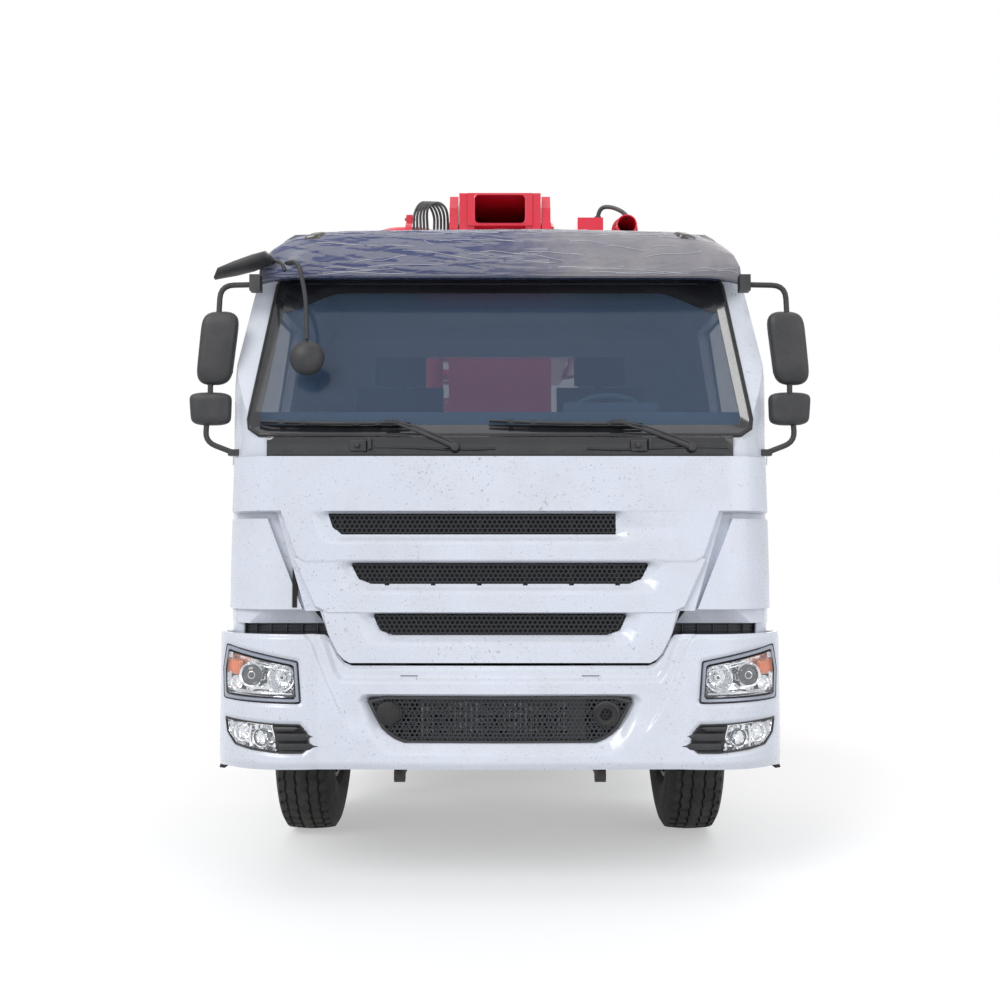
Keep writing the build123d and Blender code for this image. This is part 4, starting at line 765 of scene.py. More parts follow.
@dataclass(frozen=True)
class Outline:
    """A closed outline in the front view with rounded corners, used as a signed distance.

    Attributes:
        corners: (x, z) corners in order.
        radius: Radius that rounds the corners.
    """

    corners: tuple[Pair, ...]
    radius: float = 0.0

    def distance(self, x: np.ndarray, z: np.ndarray) -> np.ndarray:
        """Signed distance from each point to the outline, negative inside.

        Args:
            x: Places across.
            z: Heights.

        Returns:
            The distances.
        """
        points = np.asarray(self.corners, float)
        if self.radius > 0:
            points = self._shrunk(points)
        best = np.full(x.shape, 1e9)
        inside = np.zeros(x.shape, bool)
        for a, b in zip(points, np.roll(points, -1, 0)):
            run = b - a
            t = np.clip(((x - a[0]) * run[0] + (z - a[1]) * run[1]) / (run @ run + 1e-18), 0, 1)
            best = np.minimum(best, np.hypot(x - a[0] - t * run[0], z - a[1] - t * run[1]))
            crosses = (a[1] > z) != (b[1] > z)
            with np.errstate(divide="ignore", invalid="ignore"):
                inside ^= crosses & (x < run[0] * (z - a[1]) / (run[1] + 1e-18) + a[0])
        return np.where(inside, -best, best) - self.radius

    def _shrunk(self, points: np.ndarray) -> np.ndarray:
        """Moves every edge inwards by the radius and crosses neighbours again.

        Args:
            points: The corners.

        Returns:
            The moved corners.
        """
        turn = np.sum(points[:, 0] * np.roll(points[:, 1], -1) - np.roll(points[:, 0], -1) * points[:, 1])
        sign = 1.0 if turn > 0 else -1.0
        moved = []
        n = len(points)
        for i in range(n):
            a, b, c = points[i - 1], points[i], points[(i + 1) % n]
            u = (b - a) / np.linalg.norm(b - a)
            v = (c - b) / np.linalg.norm(c - b)
            nu, nv = sign * np.array([-u[1], u[0]]), sign * np.array([-v[1], v[0]])
            middle = nu + nv
            moved.append(b + middle * self.radius / max(0.25, float(middle @ nu)))
        return np.array(moved)

    def mirrored(self) -> "Outline":
        """The outline on the other side of the truck."""
        return Outline(tuple((-x, z) for x, z in reversed(self.corners)), self.radius)

    def ring(self, count: int = 96, inset: float = 0.0) -> np.ndarray:
        """Points along the rounded outline or inside it, from rays against the signed distance.

        Args:
            count: Number of points.
            inset: How far inside the outline the points lie.

        Returns:
            Array of (x, z) points.
        """
        points = np.asarray(self.corners, float)
        centre = points.mean(0)
        angle = np.linspace(0, 2 * math.pi, count, endpoint=False)
        low = np.zeros(count)
        high = np.full(count, float(np.ptp(points, axis=0).max()))
        for _ in range(26):
            middle = (low + high) / 2
            d = self.distance(centre[0] + np.cos(angle) * middle, centre[1] + np.sin(angle) * middle) + inset
            low, high = np.where(d < 0, middle, low), np.where(d < 0, high, middle)
        return np.stack([centre[0] + np.cos(angle) * low, centre[1] + np.sin(angle) * low], -1)


@dataclass
class Relief:
    """A pressed panel: a fine grid over the front view, pushed along Y, with cut holes and folded edges.

    Attributes:
        half: Half width at each t from 0 (bottom) to 1 (top), as a function of t.
        low: Lower edge's height as a function of x.
        high: Upper edge's height as a function of x.
        depth: Distance behind the bumper at (x, z).
        holes: Outlines cut through.
        creases: Outlines that grid points slide onto.
        fold: Depth of the folded edges.
        columns: Steps across.
        levels: Steps up.
    """

    half: Curve
    low: Curve
    high: Curve
    depth: Callable[[np.ndarray, np.ndarray], np.ndarray]
    holes: tuple[Outline, ...] = ()
    creases: tuple[Outline, ...] = ()
    fold: float = 0.03
    columns: int = 420
    levels: int = 60

    def build(self, name: str, body: str, finish: Finish, slot: Slot) -> bpy.types.Object:
        """Makes the panel.

        Args:
            name: Object name.
            body: CAD body it rides on.
            finish: Its finish.
            slot: The record's material slot.

        Returns:
            The Blender object.
        """
        s = np.linspace(-1, 1, self.columns)[None, :]
        t = np.linspace(0, 1, self.levels)[:, None]
        x = s * self.half(t)
        z = self.low(x) + (self.high(x) - self.low(x)) * t
        inner = np.zeros(x.shape, bool)
        inner[1:-1, 1:-1] = True
        cell = 0.55 * float(np.median(np.diff(x[self.levels // 2])))
        for outline in self.creases + self.holes:
            x, z = self._slide(x, z, outline, cell, inner)
        y = at(self.depth(x, z))
        shape = Shape().grid(np.stack([x, y, z], -1))
        obj = shape.build(name, body, finish, slot, smooth=42)
        self._cut(obj)
        return obj

    @staticmethod
    def _slide(x: np.ndarray, z: np.ndarray, outline: Outline, cell: float,
               inner: np.ndarray) -> tuple[np.ndarray, np.ndarray]:
        """Slides the grid points nearest an outline onto it.

        Args:
            x: Grid places across.
            z: Grid heights.
            outline: The outline.
            cell: How near counts.
            inner: Points that may move.

        Returns:
            The moved grid.
        """
        d = outline.distance(x, z)
        e = 1e-4
        gx = (outline.distance(x + e, z) - d) / e
        gz = (outline.distance(x, z + e) - d) / e
        near = inner & (np.abs(d) < cell)
        return np.where(near, x - d * gx, x), np.where(near, z - d * gz, z)

    def _cut(self, obj: bpy.types.Object) -> None:
        """Removes the faces inside the holes and folds every open edge back.

        Args:
            obj: The panel.
        """
        bm = bmesh.new()
        bm.from_mesh(obj.data)
        bm.verts.ensure_lookup_table()
        if self.holes:
            place = np.array([v.co for v in bm.verts])
            d = np.min([h.distance(place[:, 0], place[:, 2]) for h in self.holes], axis=0)
            gone = [f for f in bm.faces if sum(d[v.index] for v in f.verts) / len(f.verts) < 0]
            bmesh.ops.delete(bm, geom=gone, context="FACES")
        edges = [e for e in bm.edges if e.is_boundary]
        result = bmesh.ops.extrude_edge_only(bm, edges=edges)
        moved = [v for v in result["geom"] if isinstance(v, bmesh.types.BMVert)]
        bmesh.ops.translate(bm, verts=moved, vec=(0, self.fold, 0))
        bmesh.ops.delete(bm, geom=[v for v in bm.verts if not v.link_faces], context="VERTS")
        bm.to_mesh(obj.data)
        bm.free()
        obj.data.shade_smooth()
        obj.data.set_sharp_from_angle(angle=math.radians(42))


def both(points: Sequence[Pair]) -> tuple[Pair, ...]:
    """Corners of one side, from the middle line on, with their mirror image as one closed outline."""
    return tuple(points) + tuple((-x, z) for x, z in reversed(points))


def honeycomb(shape: Shape, outline: Outline, depth: Curve, cell: float,
              wire: float) -> None:
    """Fills an outline with a pierced hexagonal mesh: three bars at each cell's corner pair.

    Args:
        shape: Shape that takes the bars.
        outline: Area to fill.
        depth: Distance behind the bumper at each x.
        cell: Width of a cell across its flats.
        wire: Half width of a bar.
    """
    points = np.asarray(outline.corners)
    (x0, z0), (x1, z1) = points.min(0), points.max(0)
    r = cell / math.sqrt(3)
    for row in range(int((z1 - z0) / (1.5 * r)) + 2):
        for column in range(int((x1 - x0) / cell) + 2):
            cx = x0 + column * cell + (row % 2) * cell / 2
            cz = z0 + row * 1.5 * r
            ends = [(cx + r * math.sin(math.radians(60 * k)), cz + r * math.cos(math.radians(60 * k)))
                    for k in (0, 1, 2, 3)]
            for (ax, az), (bx, bz) in zip(ends, ends[1:]):
                d = outline.distance(np.array([ax, bx]), np.array([az, bz]))
                if d.max() > -0.001:
                    continue
                nx, nz = (az - bz) / r * wire, (bx - ax) / r * wire
                ya, yb = float(at(depth(ax))), float(at(depth(bx)))
                shape.prism([(ax + nx, ya, az + nz), (bx + nx, yb, bz + nz), (bx - nx, yb, bz - nz),
                             (ax - nx, ya, az - nz)], (0, 0.004, 0))


def shade_plate(shape: Shape, outline: Outline, depth: Curve) -> None:
    """Adds a plate that fills an outline behind a grille; its callers make it near-black, as painted shade
    for the dark behind the grille.

    Args:
        shape: Shape that takes the plate.
        outline: The outline.
        depth: Distance behind the bumper at each x.
    """
    ring = outline.ring(120)
    centre = ring.mean(0)
    inner = np.stack([centre + (ring - centre) * k for k in (1.0, 0.75, 0.5, 0.25, 0.02)])
    y = at(depth(inner[..., 0]))
    shape.grid(np.stack([inner[..., 0], y, inner[..., 1]], -1), wrap_v=True)


@dataclass
class FrontFlap:
    """The stepped grille panel with its three meshed slots.

    Attributes:
        slots: Outlines of the meshed openings.
        lips: Where the slope into each slot starts.
        tiers: Outlines of the steps.
        proud: How far each step stands in front of the flap's surface.
        sunk: How far the ground between them lies behind it.
        joints: Heights where its strips meet, and its two ends.
    """

    slots: tuple[Outline, ...] = (
        Outline(((-0.748, 1.657), (-0.728, 1.600), (-0.690, 1.566), (0.503, 1.566), (0.503, 1.657)), 0.006),
        Outline(both([(0.649, 1.442), (0.612, 1.372), (0.560, 1.352)]), 0.008),
        Outline(both([(0.552, 1.222), (0.520, 1.150), (0.465, 1.131)]), 0.008),
    )
    lips: tuple[Outline, ...] = (
        Outline(both([(0.826, 1.668), (0.806, 1.575), (0.770, 1.523)]), 0.02),
        Outline(both([(0.722, 1.450), (0.706, 1.352), (0.672, 1.306)]), 0.02),
        Outline(both([(0.626, 1.230), (0.612, 1.140), (0.575, 1.086)]), 0.02),
    )
    tiers: tuple[Outline, ...] = (
        Outline(both([(0.966, 1.70), (0.884, 1.468), (0.846, 1.445)]), 0.012),
        Outline(both([(0.90, 1.47), (0.800, 1.250), (0.740, 1.223)]), 0.012),
        Outline(both([(0.775, 1.25), (0.748, 1.139), (0.693, 1.03), (0.655, 0.99)]), 0.01),
    )
    proud: tuple[float, ...] = (0.016, 0.010, 0.004)
    sunk: float = 0.012
    joints: tuple[float, ...] = (1.013, 1.236, 1.6625, 1.905)

    def depth(self, x: np.ndarray, z: np.ndarray) -> np.ndarray:
        """Distance behind the bumper: each tier stands before the next, lips slope into the slots.

        Args:
            x: Places across.
            z: Heights.

        Returns:
            The distances.
        """
        lift = np.full(x.shape, -self.sunk)
        for tier, proud in zip(self.tiers, self.proud):
            share = smooth_step(-tier.distance(x, z), 0.0, 0.007)
            lift = np.maximum(lift, -self.sunk + (proud + self.sunk) * share)
        for lip, slot in zip(self.lips, self.slots):
            inside = -lip.distance(x, z)
            outside = np.maximum(slot.distance(x, z), 0.0)
            share = np.where(inside > 0, inside / (inside + outside + 1e-6), 0.0)
            lift = lift - 0.030 * smooth_step(share, 0.0, 1.0)
        upper = smooth_step(z, 1.6615, 1.6675)
        crown = 0.006 * np.cos(np.clip(x / 1.2, -1, 1) * math.pi / 2)
        lift = np.where(z > 1.655, lift * (1 - upper) + (0.014 + crown) * upper, lift)
        return FLAP.back(x, 0.0) - lift

    def build(self) -> None:
        """Makes the panel in three strips, and its meshes."""
        shell = None
        strips = (
            ("flap_lower", lambda t: np.interp(t, [0, 0.06, 0.2, 0.4, 0.7, 1.0],
                                               [0.646, 0.672, 0.702, 0.728, 0.755, 0.778]),
             360, 48),
            ("flap_middle", lambda t: np.interp(t, [0, 1.0], [0.842, 0.968]), 430, 84),
            ("flap_upper", lambda t: np.interp(t, [0, 1.0], [1.184, 1.173]), 300, 40),
        )
        for (name, half, columns, levels), low, high in zip(strips, self.joints, self.joints[1:]):
            panel = Relief(half, lambda x, v=low: np.full(x.shape, v), lambda x, v=high: np.full(x.shape, v),
                           self.depth, self.slots, self.lips + self.tiers, 0.034, columns, levels)
            piece = panel.build(name, "front_flap", PAINT.white, Slot.WHITE)
            shell = shell or piece
        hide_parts("front_flap")
        # A near-black sheet and bars behind the flap: painted shade for the dark seen through its slots.
        back = Shape()
        x = np.linspace(-0.96, 0.96, 40)
        z = np.linspace(1.03, 1.66, 20)
        gx, gz = np.meshgrid(x, z)
        gx = gx * np.interp(gz, [1.03, 1.236, 1.66], [0.66, 0.84, 1.0])
        back.grid(np.stack([gx, at(FLAP.back(gx) + 0.036), gz], -1))
        gx, gz = np.meshgrid(np.linspace(-1.17, 1.17, 60), np.linspace(1.67, 1.9, 6))
        back.grid(np.stack([gx, at(FLAP.back(gx) + 0.036), gz], -1))
        for k in range(9):
            back.box((-0.9 + 0.2 * k, at(0.080), 1.25), (-0.88 + 0.2 * k, at(0.100), 1.64))
        back.build("flap_inner_shade_sheet", "front_flap", PAINT.painted_gap_shade, Slot.BLACK)
        mesh = Shape()
        plate = Shape()
        for slot in self.slots:
            wide = Outline(slot.corners, 0.0)
            honeycomb(mesh, wide, lambda x: FLAP.back(x, -0.014), 0.021, 0.0024)
            # Near-black plate behind each slot's mesh: painted shade for the dark behind the slot.
            shade_plate(plate, wide, lambda x: FLAP.back(x, -0.028))
        mesh.build("flap_slot_mesh", "front_flap", PAINT.mesh, Slot.BLACK)
        plate.build("flap_slot_shade", "front_flap", PAINT.painted_gap_shade, Slot.BLACK)


@dataclass
class Bumper:
    """The white bumper skin with its lamp pockets, side returns and lower grille.

    Attributes:
        ledge: Middle panel that lies deeper than the sides.
        surround: Where the slope into the grille starts.
        opening: The grille's opening.
        lamp: Headlamp pocket on the +X side.
        fog: Fog lamp pocket on the +X side.
        half: Half the skin's width.
        fold: Depth of its folded edges.
        wing: Front and back end of the side returns, behind the bumper's front.
        wing_heights: Their lower edge, and their upper edge in front.
        fin_pitch: Distance between the upright radiator fins.
        fin_half: Half a fin's thickness.
        rod_pitch: Distance between the level rods across them.
        rod_half: Half a rod's thickness.
    """

    ledge: Outline = Outline(both([(0.690, 0.926), (0.722, 0.966), (0.757, 1.064), (0.806, 1.20)]), 0.012)
    surround: Outline = Outline(
        both([(0.480, 0.622), (0.530, 0.645), (0.583, 0.755), (0.614, 0.852), (0.592, 0.884)]), 0.012)
    opening: Outline = Outline(both([(0.425, 0.680), (0.497, 0.728), (0.530, 0.784), (0.572, 0.866)]), 0.008)
    lamp: Outline = Outline(
        ((0.862, 1.024), (1.208, 1.090), (1.232, 0.98), (1.224, 0.848), (0.848, 0.842)), 0.012)
    fog: Outline = Outline(
        ((0.852, 0.757), (0.973, 0.759), (1.214, 0.771), (1.200, 0.705), (1.150, 0.656), (1.072, 0.643),
         (0.936, 0.632), (0.841, 0.633), (0.808, 0.66), (0.820, 0.72)), 0.008)
    half: float = 1.258
    fold: float = 0.032
    wing: Pair = (0.315, 0.765)
    wing_heights: Pair = (0.540, 1.137)
    fin_pitch: float = 0.0235
    fin_half: float = 0.0035
    rod_pitch: float = 0.018
    rod_half: float = 0.0012

    @staticmethod
    def top(x: np.ndarray) -> np.ndarray:
        """Height of the upper edge: low in the middle, with an S up to each shoulder."""
        return np.interp(np.abs(x), [0, 0.640, 0.672, 0.70, 0.735, 0.757, 0.80, 1.3],
                         [1.0, 1.0, 1.014, 1.048, 1.115, 1.133, 1.137, 1.137])

    @staticmethod
    def bottom(x: np.ndarray) -> np.ndarray:
        """Height of the lower edge, dropping a little at the corners."""
        return np.interp(np.abs(x), [0, 0.9, 1.2, 1.27], [0.566, 0.564, 0.556, 0.540])

    def depth(self, x: np.ndarray, z: np.ndarray) -> np.ndarray:
        """Distance behind the bumper's front with its ledge, shoulders and pockets.

        Args:
            x: Places across.
            z: Heights.

        Returns:
            The distances.
        """
        side = np.abs(x)
        lift = np.zeros(x.shape)
        lift -= 0.030 * smooth_step(-self.ledge.distance(x, z), 0.0, 0.035)
        line = np.interp(z, [0.70, 0.734, 0.812, 0.967, 1.098, 1.146],
                         [0.60, 0.635, 0.688, 0.759, 0.808, 0.848])
        fade = smooth_step(z, 0.69, 0.80)
        lift -= 0.014 * fade * (1 - smooth_step(side - line, -0.012, 0.006))
        inside = -self.surround.distance(x, z)
        outside = np.maximum(self.opening.distance(x, z), 0.0)
        lift -= 0.032 * smooth_step(np.where(inside > 0, inside / (inside + outside + 1e-6), 0.0), 0.0, 1.0)
        for outline in (self.lamp, self.fog):
            lift -= 0.008 * smooth_step(-outline.distance(side, z), -0.016, 0.0)
        lift -= 0.020 * smooth_step(z, 0.60, 0.545)
        lift -= 0.012 * smooth_step(z, self.top(x) - 0.020, self.top(x))
        return BUMPER.back(x, 0.0) - lift

    def build(self) -> None:
        """Makes the skin, its side returns, the mesh, fins and sockets behind, and the corner rubbers."""
        pockets = (self.opening, self.lamp, self.lamp.mirrored(), self.fog, self.fog.mirrored())
        skin = Relief(lambda t: np.full(np.shape(t), self.half), self.bottom, self.top, self.depth, pockets,
                      (self.ledge, self.surround), self.fold, 560, 130)
        piece = skin.build("bumper_skin", "chassis", PAINT.white, Slot.WHITE)
        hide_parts("front_bumper")
        wings = Shape()
        for side, _ in SIDES:
            z = np.linspace(0, 1, 24)[:, None]
            b = np.linspace(*self.wing, 30)[None, :]
            low, top = self.wing_heights
            high = top - 0.10 * smooth_step(b, 0.55, 0.76)
            height = low + (high - low) * z
            x = side * (self.half + 0.010 * smooth_step(b, 0.315,
                                                        0.40) - 0.02 * smooth_step(height, 1.05, 1.14))
            outer = np.stack([x, np.broadcast_to(at(b), height.shape), height], -1)
            inner = outer - np.array([side * 0.03, 0, 0])
            wings.grid(outer if side > 0 else outer[:, ::-1])
            wings.grid(inner[:, ::-1] if side > 0 else inner)
            for edge in (0, -1):
                wings.grid(np.stack([outer[edge], inner[edge]], 0))
                wings.grid(np.stack([outer[:, edge], inner[:, edge]], 0))
            wings.box((side * 0.36, at(0.036), 0.885), (side * 0.42, at(0.418), 0.955))
        floor = np.linspace(-1.23, 1.23, 80)
        near = np.stack([floor, at(BUMPER.back(floor) + 0.03), np.full(80, 0.566)], -1)
        far = near.copy()
        far[:, 1] = at(0.535)
        wings.grid(np.stack([near, far], 0))
        wings.build("bumper_returns", "chassis", PAINT.white, Slot.WHITE)
        mesh = Shape()
        honeycomb(mesh, self.opening, lambda x: BUMPER.back(x, -0.040), 0.026, 0.0028)
        mesh.build("bumper_mesh", "chassis", PAINT.mesh, Slot.BLACK)
        fins = Shape()
        for x in np.arange(-0.335, 0.336, self.fin_pitch):
            fins.box((x - self.fin_half, at(0.074), 0.70), (x + self.fin_half, at(0.09), 0.85))
        for z in np.arange(0.705, 0.85, self.rod_pitch):
            fins.box((-0.34, at(0.078), z - self.rod_half), (0.34, at(0.09), z + self.rod_half))
        fins.build("radiator_fins", "chassis", PAINT.plate, Slot.PLATE)
        rubber = Shape()
        for side, _ in SIDES:
            ring = [(1.20, 0.556), (1.262, 0.542), (1.270, 0.520), (1.245, 0.516), (1.225, 0.535)]
            rubber.prism([(side * x, at(0.34), z) for x, z in ring][::-1 if side < 0 else 1], (0, 0.12, 0))
        rubber.build("bumper_corner_rubbers", "chassis", PAINT.rubber, Slot.BLACK, bevel=0.004)
        socket = Shape()
        socket.turned([(0.030, 0.0), (0.052, 0.0), (0.056, 0.012), (0.046, 0.020), (0.034, 0.018),
                       (0.030, 0.0)],
                      (0.456, at(0.052), 0.797), (0, -1, 0), 40)
        socket.turned([(0.0, -0.05), (0.030, -0.05), (0.030, 0.002)], (0.456, at(0.052), 0.797),
                      (0, -1, 0), 40)
        socket.turned([(0.0, 0.012), (0.040, 0.012), (0.046, 0.004), (0.046, -0.02)],
                      (-0.460, at(0.052), 0.800), (0, -1, 0), 40)
        socket.build("tow_sockets", "chassis", PAINT.black, Slot.BLACK)


def basin(shape: Shape, outline: Outline, side: int, steps: Sequence[Pair]) -> None:
    """Adds a surface of nested rings inside an outline, each at its own lift off the bumper.

    Args:
        shape: Shape that takes the surface.
        outline: The outline on the +X side.
        side: 1 for +X, -1 for -X.
        steps: Pairs of inset and lift, from the outer ring inwards.
    """
    grid = []
    for inset, lift in steps:
        ring = outline.ring(RING_STEPS, inset)
        grid.append(np.stack([side * ring[:, 0], at(BUMPER.back(ring[:, 0], lift)), ring[:, 1]], -1))
    shape.grid(np.array(grid), wrap_v=True)


@dataclass
class Lamps:
    """Headlamps with projector, reflector and turn signal, and fog lamps with their louvres.

    Attributes:
        lens: A headlamp's clear cover.
        amber: Its turn signal.
        sill: Its bright lower bar.
        clear: A fog lamp's clear cover.
        louvre: The black louvre beside it.
        spokes: Ribs in the round reflector.
        lines: Heights of the headlamp's level ribs.
    """

    lens: Outline = Outline(
        ((0.884, 1.000), (1.196, 1.058), (1.206, 0.97), (1.202, 0.876), (0.872, 0.866)), 0.008)
    amber: Outline = Outline(
        ((1.128, 1.014), (1.196, 1.020), (1.200, 0.976), (1.182, 0.956), (1.142, 0.954), (1.128, 0.972)),
        0.012)
    sill: Outline = Outline(((0.892, 0.892), (1.194, 0.896), (1.194, 0.882), (0.890, 0.876)), 0.004)
    clear: Outline = Outline(
        ((0.980, 0.749), (1.200, 0.760), (1.188, 0.706), (1.142, 0.663), (1.072, 0.651), (0.948, 0.641)),
        0.006)
    louvre: Outline = Outline(
        ((0.858, 0.750), (0.968, 0.751), (0.934, 0.640), (0.846, 0.641), (0.816, 0.664), (0.826, 0.716)),
        0.006)
    spokes: int = 10
    lines: tuple[float, ...] = (1.016, 1.004, 0.992)

    def build(self) -> None:
        """Makes both sides."""
        first = None
        for side, label in SIDES:
            piece = self._headlamp(side, label)
            self._fog(side, label)
            first = first or piece
        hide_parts("lamps")

    def _headlamp(self, side: int, label: str) -> bpy.types.Object:
        """Makes one headlamp.

        Args:
            side: 1 or -1.
            label: Name of the side.

        Returns:
            Its bezel.
        """
        frame = Shape()
        basin(frame, Bumper.lamp, side, [(-0.004, -0.030), (0.004, -0.008), (0.009, -0.003), (0.019, -0.004),
                                         (0.023, -0.014), (0.023, -0.034)])
        bezel = frame.build(f"headlamp_bezel_{label}", "chassis", PAINT.bezel, Slot.LENS, smooth=30)
        # Near-black rings: the one round the lens is its seal, the one at the pocket's edge is painted shade
        # in the gap between bumper and bezel.
        seal = Shape()
        basin(seal, self.lens, side, [(-0.006, -0.016), (-0.002, -0.008), (0.002, -0.016)])
        basin(seal, Bumper.lamp, side, [(-0.003, -0.020), (0.001, -0.004), (0.005, -0.012)])
        seal.build(f"headlamp_seal_and_gap_shade_{label}", "chassis", PAINT.painted_gap_shade, Slot.BLACK)
        chrome = Shape()
        basin(chrome, self.lens, side, [(0.001, -0.012), (0.006, -0.040), (0.012, -0.060), (0.030, -0.066),
                                        (0.2, -0.066)])
        centre = (side * 1.077, BUMPER.y(1.077), 0.959)
        face = (side * 0.12, -1.0, 0.0)
        chrome.turned([(0.044, -0.055), (0.052, -0.040), (0.054, -0.020), (0.050, -0.016), (0.044, -0.022),
                       (0.040, -0.046), (0.030, -0.052)], centre, face, 48)
        chrome.turned([(0.017, -0.024), (0.0165, -0.0205), (0.014, -0.0195), (0.012, -0.0225)],
                      centre, face, 32)
        near = (side * 0.941, BUMPER.y(0.941), 0.951)
        chrome.turned([(0.063, -0.024), (0.060, -0.017), (0.056, -0.022), (0.050, -0.040), (0.036, -0.056),
                       (0.018, -0.063), (0.014, -0.066)], near, face, 20)
        for k in range(self.spokes):
            turn = 2 * math.pi * k / self.spokes
            inner = np.array([math.cos(turn) * 0.022, 0, math.sin(turn) * 0.022])
            outer = np.array([math.cos(turn) * 0.054, 0, math.sin(turn) * 0.054])
            base = np.array(near)
            chrome.tube([base + inner + [0, 0.060, 0], base + (inner + outer) / 2 + [0, 0.048, 0],
                         base + outer + [0, 0.026, 0]], 0.0018, 6)
        chrome.turned([(0.0, -0.034), (0.010, -0.036), (0.012, -0.046), (0.012, -0.064)], near, face, 20)
        low = (side * 1.164, BUMPER.y(1.164), 0.921)
        chrome.turned([(0.030, -0.030), (0.032, -0.024), (0.028, -0.028), (0.018, -0.044),
                       (0.004, -0.050)], low,
                      (side * 0.45, -1.0, 0.0), 24)
        basin(chrome, self.sill, side, [(-0.003, -0.050), (0.0, -0.030), (0.004, -0.024), (0.2, -0.024)])
        for z in self.lines:
            path = [(side * x, BUMPER.y(x, -0.048), z + (x - 0.90) * 0.17 - 0.016)
                    for x in np.linspace(0.895, 1.10, 9)]
            chrome.tube(path, 0.0028, 8)
        chrome.build(f"headlamp_reflector_{label}", "chassis", PAINT.chrome, Slot.BRIGHT, smooth=25)
        dark = Shape()
        dark.turned([(0.041, -0.048), (0.043, -0.034), (0.0405, -0.030), (0.030, -0.0255), (0.018, -0.0225),
                     (0.0, -0.021)], centre, face, 40)
        dark.turned([(0.0, -0.033), (0.006, -0.0335), (0.008, -0.036)], near, face, 16)
        dark.build(f"headlamp_projector_{label}", "chassis", PAINT.gloss, Slot.GLASS, smooth=60)
        turn = Shape()
        basin(turn, self.amber, side, [(-0.002, -0.060), (0.0, -0.038), (0.006, -0.030), (0.014, -0.026),
                                       (0.06, -0.024)])
        for k in range(6):
            x = 1.134 + 0.0115 * k
            turn.tube([(side * x, BUMPER.y(x, -0.025), z) for z in (0.966, 0.985, 1.006)], 0.0022, 6)
        turn.build(f"headlamp_turn_signal_{label}", "chassis", PAINT.amber, Slot.LENS, smooth=60)
        cover = Shape()
        basin(cover, self.lens, side, [(0.0, -0.012), (0.003, -0.002), (0.010, 0.0015), (0.040, 0.003),
                                       (0.2, 0.003)])
        cover.build(f"headlamp_cover_{label}", "chassis", PAINT.lens, Slot.LENS, smooth=70)
        return bezel

    def _fog(self, side: int, label: str) -> None:
        """Makes one fog lamp with its louvre.

        Args:
            side: 1 or -1.
            label: Name of the side.
        """
        black = Shape()
        basin(black, Bumper.fog, side, [(-0.003, -0.030), (0.001, -0.003), (0.006, -0.004), (0.009, -0.016),
                                        (0.009, -0.040)])
        basin(black, self.louvre, side, [(-0.006, -0.010), (0.0, -0.012), (0.012, -0.020), (0.2, -0.022)])
        for z0, z1, tip, point in ((0.725, 0.749, 0.846, 0.741), (0.684, 0.721, 0.796, 0.706),
                                   (0.645, 0.679, 0.774, 0.663)):
            x = np.concatenate([np.linspace(tip, tip + 0.035, 7), np.linspace(tip + 0.045, 0.97, 12)])
            edge = 0.968 - (0.75 - (z0 + z1) / 2) * 0.3
            x = np.minimum(x, edge)
            open_ = smooth_step(x, tip - 0.004, tip + 0.040)
            rows_ = []
            for v, lift in ((0.0, -0.016), (0.1, -0.004), (0.5, 0.001), (0.85, -0.002), (1.0, -0.016)):
                z = point + (z0 + (z1 - z0) * v - point) * open_
                rows_.append(np.stack([side * x, at(BUMPER.back(x, lift + 0.003 * (1 - open_))), z], -1))
            black.grid(np.array(rows_))
        black.build(f"fog_louvre_{label}", "chassis", PAINT.black, Slot.BLACK, smooth=40)
        chrome = Shape()
        basin(chrome, self.clear, side, [(0.0, -0.012), (0.004, -0.034), (0.010, -0.050), (0.2, -0.052)])
        for x, z, r in ((1.028, 0.696, 0.040), (1.120, 0.712, 0.038)):
            place = (side * x, BUMPER.y(x), z)
            chrome.turned([(r, -0.022), (r * 1.05, -0.016), (r * 0.94, -0.020), (r * 0.8, -0.038),
                           (r * 0.4, -0.050), (r * 0.2, -0.052)], place, (side * 0.3, -1.0, 0.0), 18)
            chrome.turned([(0.0, -0.024), (r * 0.24, -0.026), (r * 0.28, -0.05)], place,
                          (side * 0.3, -1.0, 0.0), 16)
        for k in range(7):
            x = 1.142 + 0.007 * k
            chrome.tube([(side * x, BUMPER.y(x, -0.030), z) for z in (0.672 + 0.006 * k, 0.748)], 0.0018, 6)
        path = [(side * x, BUMPER.y(x, -0.016), z)
                for x, z in ((1.072, 0.656), (1.078, 0.70), (1.070, 0.748))]
        chrome.tube(path, 0.006, 8)
        chrome.build(f"fog_reflector_{label}", "chassis", PAINT.chrome, Slot.BRIGHT, smooth=25)
        dark = Shape()
        dark.turned([(0.036, -0.022), (0.036, -0.018), (0.031, -0.018), (0.031, -0.024)],
                    (side * 1.028, BUMPER.y(1.028), 0.696), (side * 0.3, -1.0, 0.0), 28)
        dark.build(f"fog_ring_{label}", "chassis", PAINT.gloss, Slot.BLACK)
        cover = Shape()
        basin(cover, self.clear, side, [(0.0, -0.012), (0.002, -0.004), (0.010, -0.001), (0.2, -0.001)])
        cover.build(f"fog_cover_{label}", "chassis", PAINT.lens, Slot.LENS, smooth=70)


